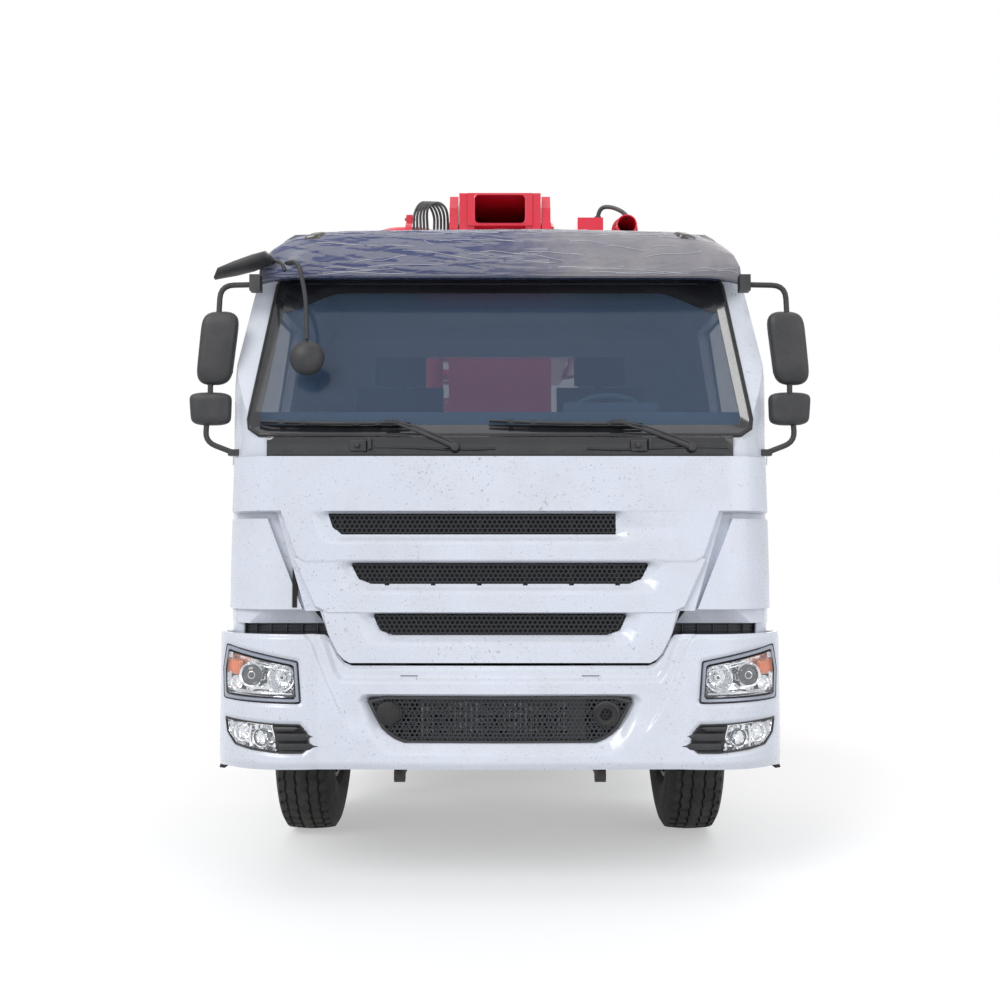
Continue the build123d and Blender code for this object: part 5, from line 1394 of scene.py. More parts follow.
@dataclass
class FrontGaps:
    """The ribbed black strips between the cab's corner panels and the bumper, and the white posts in them."""

    def build(self) -> None:
        """Makes both sides."""
        dark, white = Shape(), Shape()
        for side, _ in SIDES:
            x = np.linspace(0.70, 1.165, 40)
            z = np.linspace(1.125, 1.244, 60)
            gx, gz = np.meshgrid(x, z)
            ribs = (0.006 * (np.sin(gz * 2 * math.pi / 0.0145) > -0.2)
                    + 0.003 * np.sin(gx * 2 * math.pi / 0.09))
            dark.grid(np.stack([side * gx, at(CAB.back(gx) + 0.050 - ribs), gz], -1))
            for k in range(6):
                px = 0.80 + 0.068 * k
                dark.tube([(side * px, float(at(CAB.back(px) + 0.038)), z0) for z0 in (1.130, 1.185, 1.240)],
                          0.0045, 6)
            white.prism([(side * a, at(b), 1.128) for a, b in ((1.128, 0.19), (1.172, 0.205), (1.192, 0.25),
                                                              (1.192, 0.40), (1.150, 0.40), (1.128, 0.25))],
                        (0, 0, 0.118))
        dark.build("front_gap_ribs", "cab", PAINT.mesh, Slot.BLACK)
        white.build("front_gap_posts", "cab", PAINT.white, Slot.WHITE, bevel=0.006)


@dataclass
class Windscreen:
    """The black surround, a black band under the visor that is partly the glass's top band and partly painted
    shade, the seal, the cowl with its catches, and the wipers.

    Attributes:
        glass: The glass in the front view.
        wipers: (X, height) of each wiper's pivot, elbow, and inner and outer tip.
    """

    glass: Outline = Outline(((-1.108, 2.016), (1.108, 2.016), (1.014, 2.772), (-1.014, 2.772)), 0.05)
    wipers: tuple[tuple[Pair, ...], ...] = (
        ((-0.196, 1.946), (-0.475, 2.062), (-0.395, 2.060), (-1.058, 2.066)),
        ((0.838, 1.946), (0.520, 2.062), (0.628, 2.056), (-0.048, 2.070)))

    def build(self) -> None:
        """Makes the pieces round the glass."""
        frit_and_visor_shade = Shape()
        grid = []
        for inset, lift in ((-0.014, -0.006), (-0.012, 0.004), (-0.004, 0.006), (0.0, 0.003), (0.034, 0.003),
                            (0.036, 0.001)):
            ring = self.glass.ring(200, inset)
            grid.append(np.stack([ring[:, 0], at(screen_back(ring[:, 1]) - lift), ring[:, 1]], -1))
        frit_and_visor_shade.grid(np.array(grid), wrap_v=True)
        # A black band across the top of the glass: partly the glass's dark top band, partly painted shade
        # under the visor.
        x = np.linspace(-1.0, 1.0, 60)
        visor_shade_band = []
        for z, lift in ((2.560, 0.0016), (2.70, 0.002), (2.785, 0.002)):
            rise = 0.13 - 0.10 * smooth_step(np.abs(x), 0.72, 1.0) if z < 2.6 else 0 * x
            height = z + rise
            wide = 1.108 - (height - 2.016) * 0.1243 - 0.02
            visor_shade_band.append(np.stack([x * wide, at(screen_back(height) - lift), height], -1))
        frit_and_visor_shade.grid(np.array(visor_shade_band))
        frit_and_visor_shade.build("windscreen_surround_and_visor_shade", "cab", PAINT.gloss, Slot.BLACK, smooth=50)
        seal = Shape()
        ring = self.glass.ring(160, -0.014)
        seal.tube(np.stack([ring[:, 0], at(screen_back(ring[:, 1]) - 0.003), ring[:, 1]], -1), 0.007,
                  8, closed=True)
        seal.build("windscreen_seal", "cab", PAINT.rubber, Slot.BLACK)
        cowl = Shape()
        x = np.linspace(-1.022, 1.022, 120)
        profile = ((1.898, 0.004), (1.906, -0.010), (1.914, -0.013), (1.960, -0.011), (1.975, -0.014),
                   (1.992, -0.012), (2.002, -0.002), (2.006, 0.012))
        cowl.grid(np.stack([np.stack([x, at(CAB.back(x) + lift), np.full_like(x, z)], -1)
                            for z, lift in profile]))
        for side in (-1, 1):
            cowl.grid(np.stack([np.array([(side * 1.022, float(at(CAB.back(1.022) + lift)), z)
                                          for z, lift in profile]),
                                np.array([(side * 1.022, float(at(CAB.back(1.022) + 0.02)), z)
                                          for z, _ in profile])]))
        for x0, x1, z in ((-0.66, -0.02, 1.944), (0.38, 1.0, 1.944)):
            line = np.linspace(x0, x1, 30)
            cowl.tube([(a, CAB.y(a, 0.016), z + 0.006 * math.sin(a * 9)) for a in line], 0.006, 8)
        for x0 in np.arange(-0.96, 0.97, 0.12):
            cowl.box((x0, at(0.098), 1.926), (x0 + 0.05, at(0.104), 1.936))
        cowl.build("windscreen_cowl", "cab", PAINT.gloss, Slot.BLACK)
        hooks = Shape()
        for a in (-0.613, 0.613):
            hooks.box((a - 0.042, at(0.076), 1.928), (a + 0.030, at(0.100), 1.978))
            hooks.box((a + 0.035, at(0.070), 1.936), (a + 0.052, at(0.102), 1.988))
            hooks.turned([(0.0, 0.012), (0.011, 0.012), (0.013, 0.0)], (a - 0.01, at(0.076), 1.955),
                         (0, -1, 0), 16)
        hooks.build("cowl_catches", "cab", PAINT.black, Slot.BLACK, bevel=0.004)
        self._wipers()

    @staticmethod
    def on_glass(x: float, z: float, lift: float) -> np.ndarray:
        """A point in front of the windscreen, lifted off it."""
        return np.array([x, float(at(screen_back(z) - lift)), z])

    def _wipers(self) -> None:
        """Makes the two wipers with their arms and blades."""
        metal, rubber = Shape(), Shape()
        along = np.linspace(0, 1, 15)
        for pivot, joint, inner, outer in self.wipers:
            base = np.array([pivot[0], CAB.y(pivot[0], 0.012), pivot[1]])
            elbow = self.on_glass(*joint, 0.040)
            metal.turned([(0.0, 0.034), (0.017, 0.032), (0.022, 0.022), (0.024, 0.0)], base, (0, -1, 0.1), 24)
            side = np.array([0.0, 0.0, 1.0])
            path = [base + [0, -0.018, 0], base + (elbow - base) * 0.25 + [0, -0.014, 0.004],
                    base + (elbow - base) * 0.6 + [0, -0.008, 0.004], elbow]
            metal.tube(path, [0.014, 0.012, 0.008, 0.006], 10)
            metal.tube([p + side * 0.018 for p in path[:3]] + [path[3] + side * 0.004], 0.005, 8)
            blade = [self.on_glass(outer[0] + (inner[0] - outer[0]) * t, outer[1] + (inner[1] - outer[1]) * t
                                   - 0.006 * math.sin(math.pi * t), 0.024) for t in along]
            metal.tube(blade, [0.0035 + 0.004 * math.sin(math.pi * t) for t in along], 8)
            rubber.tube([p + [0, 0.012, -0.002] for p in blade], 0.005, 8)
            for t in (0.16, 0.34, 0.66, 0.84):
                p = blade[int(t * 14)]
                metal.box(tuple(p - [0.012, 0.004, 0.009]), tuple(p + [0.012, 0.012, 0.009]))
            metal.box(tuple(elbow - [0.030, 0.010, 0.008]), tuple(elbow + [0.030, 0.018, 0.008]))
        arms = metal.build("wiper_arms", "cab", PAINT.black, Slot.BLACK, smooth=50)
        rubber.build("wiper_rubbers", "cab", PAINT.rubber, Slot.BLACK, smooth=50)
        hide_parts("wipers")


@dataclass
class Visor:
    """The glossy sun visor, its wrinkled film and its marker lamps.

    Attributes:
        profile: (height, distance behind the bumper) of its section in the middle, from low to high.
        sheet: Thickness of the sheet.
        films: Name, ends across, finish and wrinkle height of each film.
        wrinkles: Wrinkles in a film.
        creases: Sharp creases over them, thin tubes whose whitish colour is painted highlight.
    """

    profile: tuple[Pair, ...] = (
        (2.730, 0.258), (2.727, 0.236), (2.736, 0.216), (2.760, 0.208), (2.800, 0.206), (2.850, 0.212),
        (2.895, 0.224), (2.930, 0.244), (2.955, 0.270), (2.970, 0.302), (2.976, 0.345))
    sheet: float = 0.006
    films: tuple[tuple[str, float, float, Finish, float], ...] = (
        ("visor_film_clear", -1.0, 0.20, PAINT.film, 0.0028),
        ("visor_film_dull", -0.985, 1.0, PAINT.dull_film, 0.0032))
    wrinkles: int = 26
    creases: int = 46

    def surface(self, s: np.ndarray, t: np.ndarray, lift: np.ndarray | float = 0.0) -> np.ndarray:
        """Points of the visor: the section at each t, set back at the ends by a power of the place across.

        Args:
            s: Places across, -1 to 1.
            t: Places along the profile, 0 to 1.
            lift: How far outside the surface.

        Returns:
            The points.
        """
        p = np.asarray(self.profile)
        u = np.linspace(0, 1, len(p))
        z = np.interp(t, u, p[:, 0])
        b = np.interp(t, u, p[:, 1])
        side = np.abs(s)
        half = np.interp(z, [2.727, 2.80, 2.86, 2.92, 2.955, 2.976],
                         [1.112, 1.104, 1.075, 1.025, 0.985, 0.95])
        droop = 0.014 * side**2
        b = b + 0.10 * np.clip((side - 0.80) / 0.20, 0, 1) ** 2.2 + 0.006 * side**2
        b = np.minimum(b, 0.352)
        z = z - droop * smooth_step(z, 2.84, 2.97)
        n = np.stack([0 * s, -np.cos((t - 0.35) * 2.2), np.sin(np.clip((t - 0.35) * 2.2, 0, 1.5))], -1)
        return np.stack([s * half, at(b), z], -1) + n * np.asarray(lift)[..., None]

    def build(self) -> None:
        """Makes the visor, the film over it and the lamps."""
        s, t = np.meshgrid(np.linspace(-1, 1, 140), np.linspace(0, 1, 44))
        shape = Shape().grid(self.surface(s, t))
        shape.grid(self.surface(s, t, -self.sheet)[::-1])
        for edge in (0, -1):
            outer = self.surface(s[:, edge], t[:, edge])
            inner = self.surface(s[:, edge], t[:, edge], -self.sheet)
            shape.grid(np.stack([outer, inner]))
        visor = shape.build("visor_sheet", "cab", PAINT.visor, Slot.VISOR, smooth=70)
        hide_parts("sun_visor")
        rng = np.random.default_rng(7)
        for name, s0, s1, finish, amount in self.films:
            s, t = np.meshgrid(np.linspace(s0, s1, 220), np.linspace(0.14, 0.93, 70))
            wave = np.zeros_like(s)
            for _ in range(self.wrinkles):
                angle = rng.normal(0.0, 0.28)
                freq = rng.uniform(4, 26)
                phase = rng.uniform(0, 6.28)
                across = t * 1.2 * math.cos(angle) + s * 1.4 * math.sin(angle)
                ridge = 1 - np.abs(np.sin(freq * across + phase))
                where = np.exp(-((s - rng.uniform(s0, s1)) / 0.28) ** 2)
                wave += ridge**6 * where * rng.uniform(0.3, 1.0)
            shape = Shape()
            shape.grid(self.surface(s, t, 0.0015 + amount * wave))
            shape.build(name, "cab", finish, Slot.VISOR, smooth=80)
        # Thin whitish tubes along the film's folds: the folds are real, their whitish colour is painted
        # highlight.
        creases = Shape()
        for _ in range(self.creases):
            s0, t0 = rng.uniform(-0.95, 0.9), rng.uniform(0.2, 0.9)
            run, rise = rng.uniform(0.06, 0.34), rng.normal(0, 0.05)
            u = np.linspace(0, 1, 12)
            s = np.clip(s0 + run * u, -0.98, 0.98)
            t = np.clip(t0 + rise * u + 0.012 * np.sin(u * rng.uniform(2, 9)), 0.15, 0.93)
            creases.tube(self.surface(s, t, 0.0045 + 0 * s), 0.0011, 5)
        creases.build("visor_film_crease_glints", "cab", PAINT.crease_glint, Slot.VISOR, smooth=80)
        lamps = Shape()
        for side, _ in SIDES:
            s, t = np.meshgrid(np.linspace(0.80, 0.875, 10) * side, np.linspace(0.66, 0.80, 8))
            lift = 0.012 * np.clip(1 - np.abs((np.abs(s) - 0.8375) / 0.0375) ** 6, 0, 1) * np.clip(
                1 - np.abs((t - 0.73) / 0.07) ** 6, 0, 1)
            lamps.grid(self.surface(s, t, lift + 0.003))
        lamps.build("visor_marker_lamps", "cab", PAINT.smoke, Slot.LENS, smooth=50)


def pod(shape: Shape, top: Point, low: Point, wide: Pair, deep: float, power: float = 5.0) -> None:
    """Adds a mirror housing: rounded rectangles stacked between two points, closed by rounded ends.

    Args:
        shape: Shape that takes it.
        top: Middle of the top.
        low: Middle of the bottom.
        wide: Half widths at top and bottom.
        deep: Half depth.
        power: Squareness of the sections.
    """
    angle = np.linspace(0, 2 * math.pi, 40, endpoint=False)
    c, s = np.cos(angle), np.sin(angle)
    cx = np.sign(c) * np.abs(c) ** (2 / power)
    cy = np.sign(s) * np.abs(s) ** (2 / 3.0)
    grid = []
    for t in np.sin(np.linspace(-math.pi / 2, math.pi / 2, 26)):
        end = (1 - abs(t) ** 7) ** (1 / 2.6)
        share = (1 - t) / 2
        middle = np.array(top) + (np.array(low) - np.array(top)) * share
        w = (wide[0] + (wide[1] - wide[0]) * share) * end
        d = deep * (0.35 + 0.65 * end)
        y = np.where(cy > 0, cy * d * 0.45, cy * d)
        grid.append(np.stack([middle[0] + cx * w, middle[1] + y * end, np.full(40, middle[2])], -1))
    shape.grid(np.array(grid), wrap_v=True)


def bend(points: Sequence[Point], radius: float, steps: int = 6) -> list[np.ndarray]:
    """A path of straight runs with its corners rounded.

    Args:
        points: Corners of the path.
        radius: How far from each corner its curve starts.
        steps: Steps in each curve.

    Returns:
        Points of the rounded path.
    """
    p = [np.asarray(q, float) for q in points]
    path = [p[0]]
    for a, b, c in zip(p, p[1:], p[2:]):
        near = b + (a - b) * min(0.49, radius / np.linalg.norm(a - b))
        far = b + (c - b) * min(0.49, radius / np.linalg.norm(c - b))
        for t in np.linspace(0, 1, steps):
            path.append((1 - t) ** 2 * near + 2 * t * (1 - t) * b + t**2 * far)
    return path + [p[-1]]


@dataclass
class Mirrors:
    """The mirrors with their arms, the kerb mirror and the front mirror.

    Attributes:
        kerb: X, height and half height of the kerb mirror's sections.
        back: The side mirrors' distance behind the bumper.
    """

    kerb: tuple[Point, ...] = (
        (-1.294, 2.745, 0.006), (-1.272, 2.768, 0.022), (-1.20, 2.790, 0.030), (-1.12, 2.815, 0.034),
        (-1.06, 2.836, 0.030), (-1.035, 2.826, 0.018), (-1.030, 2.812, 0.004))
    back: float = 0.222

    def build(self) -> None:
        """Makes the housings, arms and glasses."""
        shell, arm, glass = Shape(), Shape(), Shape()
        y = at(self.back)
        for side, _ in SIDES:
            out = 0.026 if side > 0 else 0.0
            pod(shell, (side * (1.254 + out), y, 2.575), (side * (1.288 + out), y, 2.240),
                (0.084, 0.079), 0.042)
            pod(shell, (side * 1.300, y, 2.208), (side * 1.296, y, 2.058), (0.096, 0.088), 0.040, 4.0)
            for low, high, width, x in ((2.275, 2.545, 0.066, 1.272 + out), (2.080, 2.188, 0.074, 1.298)):
                ring = [(side * (x + width * a), y + 0.021, (low + high) / 2 + (high - low) / 2 * c)
                        for a, c in ((-1, -0.8), (-0.8, -1), (0.8, -1), (1, -0.8), (1, 0.8),
                                     (0.8, 1), (-0.8, 1), (-1, 0.8))]
                glass.prism(ring, (0, 0.003, 0))
            arm.tube(bend([(side * 1.108, y + 0.01, 2.700), (side * (1.262 + out), y, 2.694),
                           (side * (1.268 + out), y, 2.560)], 0.06), 0.0125, 14)
            arm.tube([(side * 1.302, y, 2.262), (side * 1.302, y, 2.190)], 0.0125, 14)
            arm.tube(bend([(side * 1.316, y, 2.080), (side * 1.322, y, 1.985),
                           (side * 1.195, y + 0.01, 1.936)],
                          0.05), 0.0125, 14)
            arm.box((side * 1.080, y - 0.024, 2.668), (side * 1.128, y + 0.036, 2.740))
            arm.box((side * 1.168, y - 0.018, 1.922), (side * 1.216, y + 0.026, 1.950))
        leaf = []
        angle = np.linspace(0, 2 * math.pi, 24, endpoint=False)
        for x, z, r in self.kerb:
            leaf.append(np.stack([np.full(24, x), at(0.245) + np.cos(angle) * 0.075 * (r / 0.034) ** 0.7,
                                  z - 0.012 + np.sin(angle) * r], -1))
        shell.grid(np.array(leaf), wrap_v=True)
        arm.tube(bend([(-1.03, at(0.25), 2.815), (-0.985, at(0.235), 2.80),
                       (-0.972, at(0.222), 2.76)], 0.03), 0.010, 10)
        arm.tube(bend([(-0.985, at(0.250), 2.800), (-0.900, at(0.150), 2.790),
                       (-0.862, at(0.140), 2.62), (-0.855, at(0.128), 2.43)], 0.06), 0.010, 12)
        shell.turned([(0.0, -0.030), (0.040, -0.024), (0.070, -0.006), (0.078, 0.012), (0.074, 0.016),
                      (0.0, 0.016)],
                     (-0.855, at(0.128), 2.350), (0.0, 1.0, 0.0), 36)
        glass.turned([(0.0, 0.018), (0.070, 0.018), (0.072, 0.014)], (-0.855, at(0.128), 2.350),
                     (0.0, 1.0, 0.0), 36)
        first = shell.build("mirror_housings", "cab", PAINT.black, Slot.BLACK, smooth=60)
        arm.build("mirror_arms", "cab", PAINT.black, Slot.BLACK, smooth=60)
        glass.build("mirror_glasses", "cab", PAINT.mirror, Slot.BRIGHT, smooth=60)
        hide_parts("mirrors")


@dataclass
class LowerGrille:
    """The bumper's grille: honeycomb in front of a slatted cooler, with the tow socket and a cap.

    Attributes:
        outline: The opening in the front view.
        cell: Width of a mesh cell.
        wire: Half width of its bars.
        slats: Upright slats of the cooler.
        slat_start: Place of the first one.
        slat_pitch: Distance from slat to slat.
        slat_half: Half a slat's thickness.
    """

    outline: Outline = Outline(both([(0.425, 0.676), (0.499, 0.724), (0.534, 0.782), (0.578, 0.870)]), 0.004)
    cell: float = 0.0185
    wire: float = 0.0021
    slats: int = 30
    slat_start: float = -0.327
    slat_pitch: float = 0.0213
    slat_half: float = 0.0035

    def build(self) -> None:
        """Makes the frame, mesh, slats, socket and cap."""
        area = self.outline
        mesh = Shape()
        honeycomb(mesh, area, lambda x: BUMPER.back(x, -0.034), self.cell, self.wire)
        piece = mesh.build("lower_grille_mesh", "chassis", PAINT.mesh, Slot.BLACK)
        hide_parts("bumper_grille")
        # Near-black plate and box behind the cooler slats: painted shade for the dark behind the grille.
        plate = Shape()
        shade_plate(plate, area, lambda x: BUMPER.back(x, -0.088))
        plate.box((-0.54, at(0.090), 0.63), (0.54, at(0.112), 0.87))
        plate.build("lower_grille_shade_back", "chassis", PAINT.painted_gap_shade, Slot.BLACK)
        slats = Shape()
        for k in range(self.slats):
            x = self.slat_start + self.slat_pitch * k
            slats.box((x - self.slat_half, at(0.052), 0.700), (x + self.slat_half, at(0.072), 0.852))
        for z in (0.698, 0.852):
            slats.box((-0.334, at(0.050), z - 0.006), (0.363, at(0.076), z + 0.006))
        slats.box((0.297, at(0.052), 0.700), (0.363, at(0.072), 0.850))
        slats.build("cooler_slats", "chassis", PAINT.steel, Slot.STEEL)
        ring = area.ring(120)
        centre = ring.mean(0)
        inner = centre + (ring - centre) * np.array([0.968, 0.90])
        rim = Shape()
        loops = [np.stack([p[:, 0], at(BUMPER.back(p[:, 0], -d)), p[:, 1]], -1)
                 for p, d in ((ring, 0.026), (inner, 0.028), (inner, 0.040), (ring, 0.040))]
        rim.grid(np.stack(loops), wrap_u=True, wrap_v=True)
        rim.build("lower_grille_frame", "chassis", PAINT.gloss, Slot.BLACK, smooth=50)
        parts = Shape()
        parts.turned([(0.0, 0.02), (0.024, 0.02), (0.026, 0.052), (0.043, 0.056), (0.047, 0.050),
                      (0.049, 0.0)],
                     (0.452, at(0.072), 0.797), (0, -1, 0), 40)
        parts.turned([(0.0, 0.046), (0.045, 0.046), (0.050, 0.042), (0.050, 0.0)], (-0.478, at(0.072), 0.800),
                     (0, -1, 0), 40)
        parts.box((0.50, at(0.045), 0.775), (0.515, at(0.075), 0.825))
        parts.build("tow_socket_and_cap", "chassis", PAINT.rubber, Slot.BLACK, smooth=50)


def hose(name: str, body: str, route: Sequence[Point], diameter: float, finish: Finish) -> None:
    """Adds a free hose: a NURBS line through control points, both ends in fittings.

    Args:
        name: Object name.
        body: CAD body it rides on.
        route: Control points (x, distance behind the bumper, z).
        diameter: Outside diameter.
        finish: Its finish.
    """
    curve = bpy.data.curves.new(name, "CURVE")
    curve.dimensions = "3D"
    spline = curve.splines.new("NURBS")
    spline.points.add(len(route) - 1)
    for point, (x, b, z) in zip(spline.points, route):
        point.co = (x, at(b), z, 1.0)
    spline.order_u = 3
    spline.use_endpoint_u = True
    spline.resolution_u = 16
    obj = bpy.data.objects.new(name, curve)
    bpy.context.scene.collection.objects.link(obj)
    line = bpy.data.meshes.new_from_object(obj)
    bpy.data.meshes.remove(line)
    curve.bevel_depth = diameter / 2
    curve.bevel_resolution = 4
    curve.use_fill_caps = True
    curve.materials.append(finish.material())
    at(route[0][1])
    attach(obj, body)


@dataclass
class Hoses:
    """The hose loops over the third hinge and the hose at the tip.

    Attributes:
        count: Loops over the hinge.
        diameter: Their outside diameter.
        start: X of the first one's left end.
        pitch: Distance from loop to loop.
        span: Distance between a loop's two ends.
        foot: (distance behind the bumper, height) of all the ends.
        tip: Route of the tip's hose.
        tip_diameter: Its outside diameter.
    """

    count: int = 5
    diameter: float = 0.018
    start: float = -0.600
    pitch: float = 0.024
    span: float = 0.135
    foot: Pair = (3.092, 3.716)
    tip: tuple[Point, ...] = (
        (0.690, 3.13, 3.868), (0.694, 3.12, 3.905), (0.722, 3.10, 3.938), (0.776, 3.08, 3.932),
        (0.826, 3.05, 3.905), (0.868, 3.03, 3.872), (0.884, 3.02, 3.845))
    tip_diameter: float = 0.030

    def build(self) -> None:
        """Makes the loops side by side with their block, and the tip's hose."""
        block = Shape()
        block.box((-0.612, at(3.078), 3.684), (-0.357, at(3.106), 3.708))
        for k in range(self.count):
            left = self.start + self.pitch * k
            right = left + self.span
            lean = 3.060 - 0.030 * k
            top = 3.958 - 0.010 * k
            hose(f"head_hose_{k + 1}", "boom_2",
                 [(left, *self.foot), (left - 0.004, 3.085, 3.78), (left - 0.004, lean + 0.01, 3.88),
                  (left + 0.040, lean, top), (right - 0.040, lean - 0.004, top),
                  (right + 0.006, lean + 0.008, 3.87),
                  (right + 0.004, 3.085, 3.78), (right, *self.foot)], self.diameter, PAINT.hose)
            for x in (left, right):
                block.turned([(0, 0.022), (0.0125, 0.022), (0.0125, 0.0), (0.016, 0.0), (0.016, -0.012)],
                             (x, at(3.092), 3.718), (0, 0, 1), 6)
        block.build("head_hose_block", "boom_2", PAINT.steel, Slot.STEEL, bevel=0.002)
        hose("tip_hose", "boom_4", self.tip, self.tip_diameter, PAINT.hose)
        ends = Shape()
        ends.turned([(0, 0.012), (0.024, 0.012), (0.024, 0.0), (0.03, 0.0), (0.03, -0.01)],
                    (0.690, at(3.13), 3.864), (0, 0, 1), 12)
        ends.turned([(0.0, 0.0), (0.024, 0.0), (0.024, -0.022), (0, -0.022)], (0.884, at(3.02), 3.853),
                    (0.1, 0, 1), 12)
        ends.build("tip_hose_ends", "boom_4", PAINT.steel, Slot.STEEL)


@dataclass
class BoomHead:
    """Pin caps, the third arm's mouth, weld beads and stiffeners on the folded arms.

    Attributes:
        pins: Body, distance behind the bumper and height of each hinge pin.
        pin_half: Half the distance between a pin's two caps.
        bolt_circle: Radius of the circle of a cap's bolts.
    """

    pins: tuple[tuple[str, float, float], ...] = (
        ("turret", 3.150, 3.190), ("boom_1", 10.300, 3.430), ("boom_2", 3.170, 3.745))
    pin_half: float = 0.350
    bolt_circle: float = 0.082

    def build(self) -> None:
        """Makes the pieces on each arm."""
        for body, b, z in self.pins:
            caps = Shape()
            for side, _ in SIDES:
                x = side * self.pin_half
                caps.turned([(0.056, 0.0), (0.105, 0.0), (0.105, 0.010), (0.098, 0.014), (0.056, 0.014)],
                            (x, at(b), z), (side, 0, 0), 40)
                for k in range(6):
                    a = math.radians(60 * k + 30)
                    caps.bolt((x + side * 0.013, at(b) + self.bolt_circle * math.cos(a),
                               z + self.bolt_circle * math.sin(a)), (side, 0, 0), 0.010, 0.010)
            caps.build(f"pin_caps_{body}", body, PAINT.red, Slot.RED)
        mouth = Shape()
        ring = Outline(((-0.182, 3.772), (0.182, 3.772), (0.182, 3.984), (-0.182, 3.984)), 0.03).ring(96)
        hole = Outline(((-0.172, 3.780), (0.172, 3.780), (0.172, 3.975), (-0.172, 3.975)), 0.028).ring(96)
        centre = ring.mean(0)
        loops = [np.stack([p[:, 0], np.full(96, at(b)), p[:, 1]], -1)
                 for p, b in ((hole, 2.962), (hole, 2.950), (hole + (hole - centre) * 0.02, 2.946),
                              (ring, 2.949))]
        mouth.grid(np.stack(loops), wrap_v=True)
        mouth.turned([(0.06, -0.17), (0.118, -0.17), (0.118, -0.06), (0.11, -0.04), (0.06, -0.035)],
                     (0, at(3.170), 3.700), (1, 0, 0), 40)
        for x in (-0.2535, 0.2535):
            mouth.box((x - 0.028, at(2.962), 3.76), (x + 0.028, at(2.972), 3.985))
        mouth.build("boom_3_mouth", "boom_3", PAINT.red, Slot.RED, bevel=0.002)
        beads = (("boom_1", 0.225, 3.5, 8.6, lambda b: 3.402), ("boom_2", 0.225, 4.9, 9.9, lambda b: 3.722),
                 ("boom_3", 0.200, 4.0, 9.4, lambda b: 3.990 - (b - 3.9) * 0.0155))
        for body, x, start, end, top in beads:
            bead = Shape()
            b = np.linspace(start, end, 160)
            for side in (1, -1):
                z = np.array([top(v) for v in b]) - 0.004
                wide = x if body != "boom_3" else np.interp(b, [5.2, 9.7], [0.225, 0.170]) - 0.002
                bead.tube(np.stack([side * (wide + 0 * b), at(b), z], -1),
                          0.005 + 0.0012 * np.sin(b * 210), 6)
            bead.build(f"weld_{body}", body, PAINT.red, Slot.RED)
        plates = Shape()
        for k in range(5):
            b = 4.6 + k * 0.9
            for side in (1, -1):
                plates.box((side * 0.2255 - 0.004, at(b), 3.10), (side * 0.2255 + 0.004, at(b + 0.05), 3.37))
        plates.build("boom_1_stiffeners", "boom_1", PAINT.red, Slot.RED, bevel=0.002)


@dataclass
class DeliveryLine:
    """Pipe couplings with their bolts along the delivery line.

    Attributes:
        runs: Body, X, both ends (distance behind the bumper, height) and couplings of each pipe.
        radius: The pipes' outside radius.
        swivels: Distance behind the bumper and height of the second arm's swivels.
    """

    runs: tuple[tuple[str, float, Pair, Pair, tuple[float, ...]], ...] = (
        ("boom_1", -0.830, (3.150, 3.190), (10.300, 3.430), (3.45, 5.1, 6.75, 8.4, 10.0)),
        ("boom_2", -0.470, (3.170, 3.745), (10.300, 3.430), (3.50, 5.3, 7.1, 8.9, 10.0)),
        ("boom_3", -0.830, (3.170, 3.745), (9.850, 3.835), (3.45, 5.0, 6.6, 8.2, 9.55)),
        ("boom_4", 0.875, (2.950, 3.770), (9.850, 3.835), (3.10, 4.8, 6.5, 8.2, 9.6)))
    radius: float = 0.0715
    swivels: tuple[Pair, ...] = ((3.170, 3.745), (10.300, 3.430))

    def build(self) -> None:
        """Makes the couplings on each arm, and the swivel lugs."""
        for body, x, start, end, places in self.runs:
            rings = Shape()
            slope = (end[1] - start[1]) / (end[0] - start[0])
            for b in places:
                z = start[1] + (b - start[0]) * slope
                self.coupling(rings, (x, at(b), z), (0, 1, slope), self.radius)
            rings.build(f"couplings_{body}", body, PAINT.pipe, Slot.RED, smooth=30)
        lugs = Shape()
        for b, z in self.swivels:
            lugs.box((-0.663, at(b) - 0.022, z + 0.09), (-0.617, at(b) + 0.022, z + 0.152))
            lugs.bolt((-0.663, at(b), z + 0.125), (-1, 0, 0), 0.012, 0.012)
            lugs.bolt((-0.617, at(b), z + 0.125), (1, 0, 0), 0.012, 0.018)
        lugs.build("swivel_lugs", "boom_2", PAINT.red, Slot.RED, bevel=0.003)

    @staticmethod
    def coupling(shape: Shape, centre: Point, axis: Point, radius: float) -> None:
        """Adds one clamp ring with a bolted lug.

        Args:
            shape: Shape that takes it.
            centre: Middle of the ring.
            axis: Direction of the pipe.
            radius: The pipe's outside radius.
        """
        shape.turned([(radius, -0.030), (radius + 0.012, -0.030), (radius + 0.020, -0.018),
                      (radius + 0.020, 0.018), (radius + 0.012, 0.030), (radius, 0.030)], centre, axis, 36)
        x, y, z = centre
        shape.box((x - 0.014, y - 0.018, z + radius + 0.012), (x + 0.014, y + 0.018, z + radius + 0.042))
        shape.bolt((x + 0.014, y, z + radius + 0.029), (1, 0, 0), 0.009, 0.012)


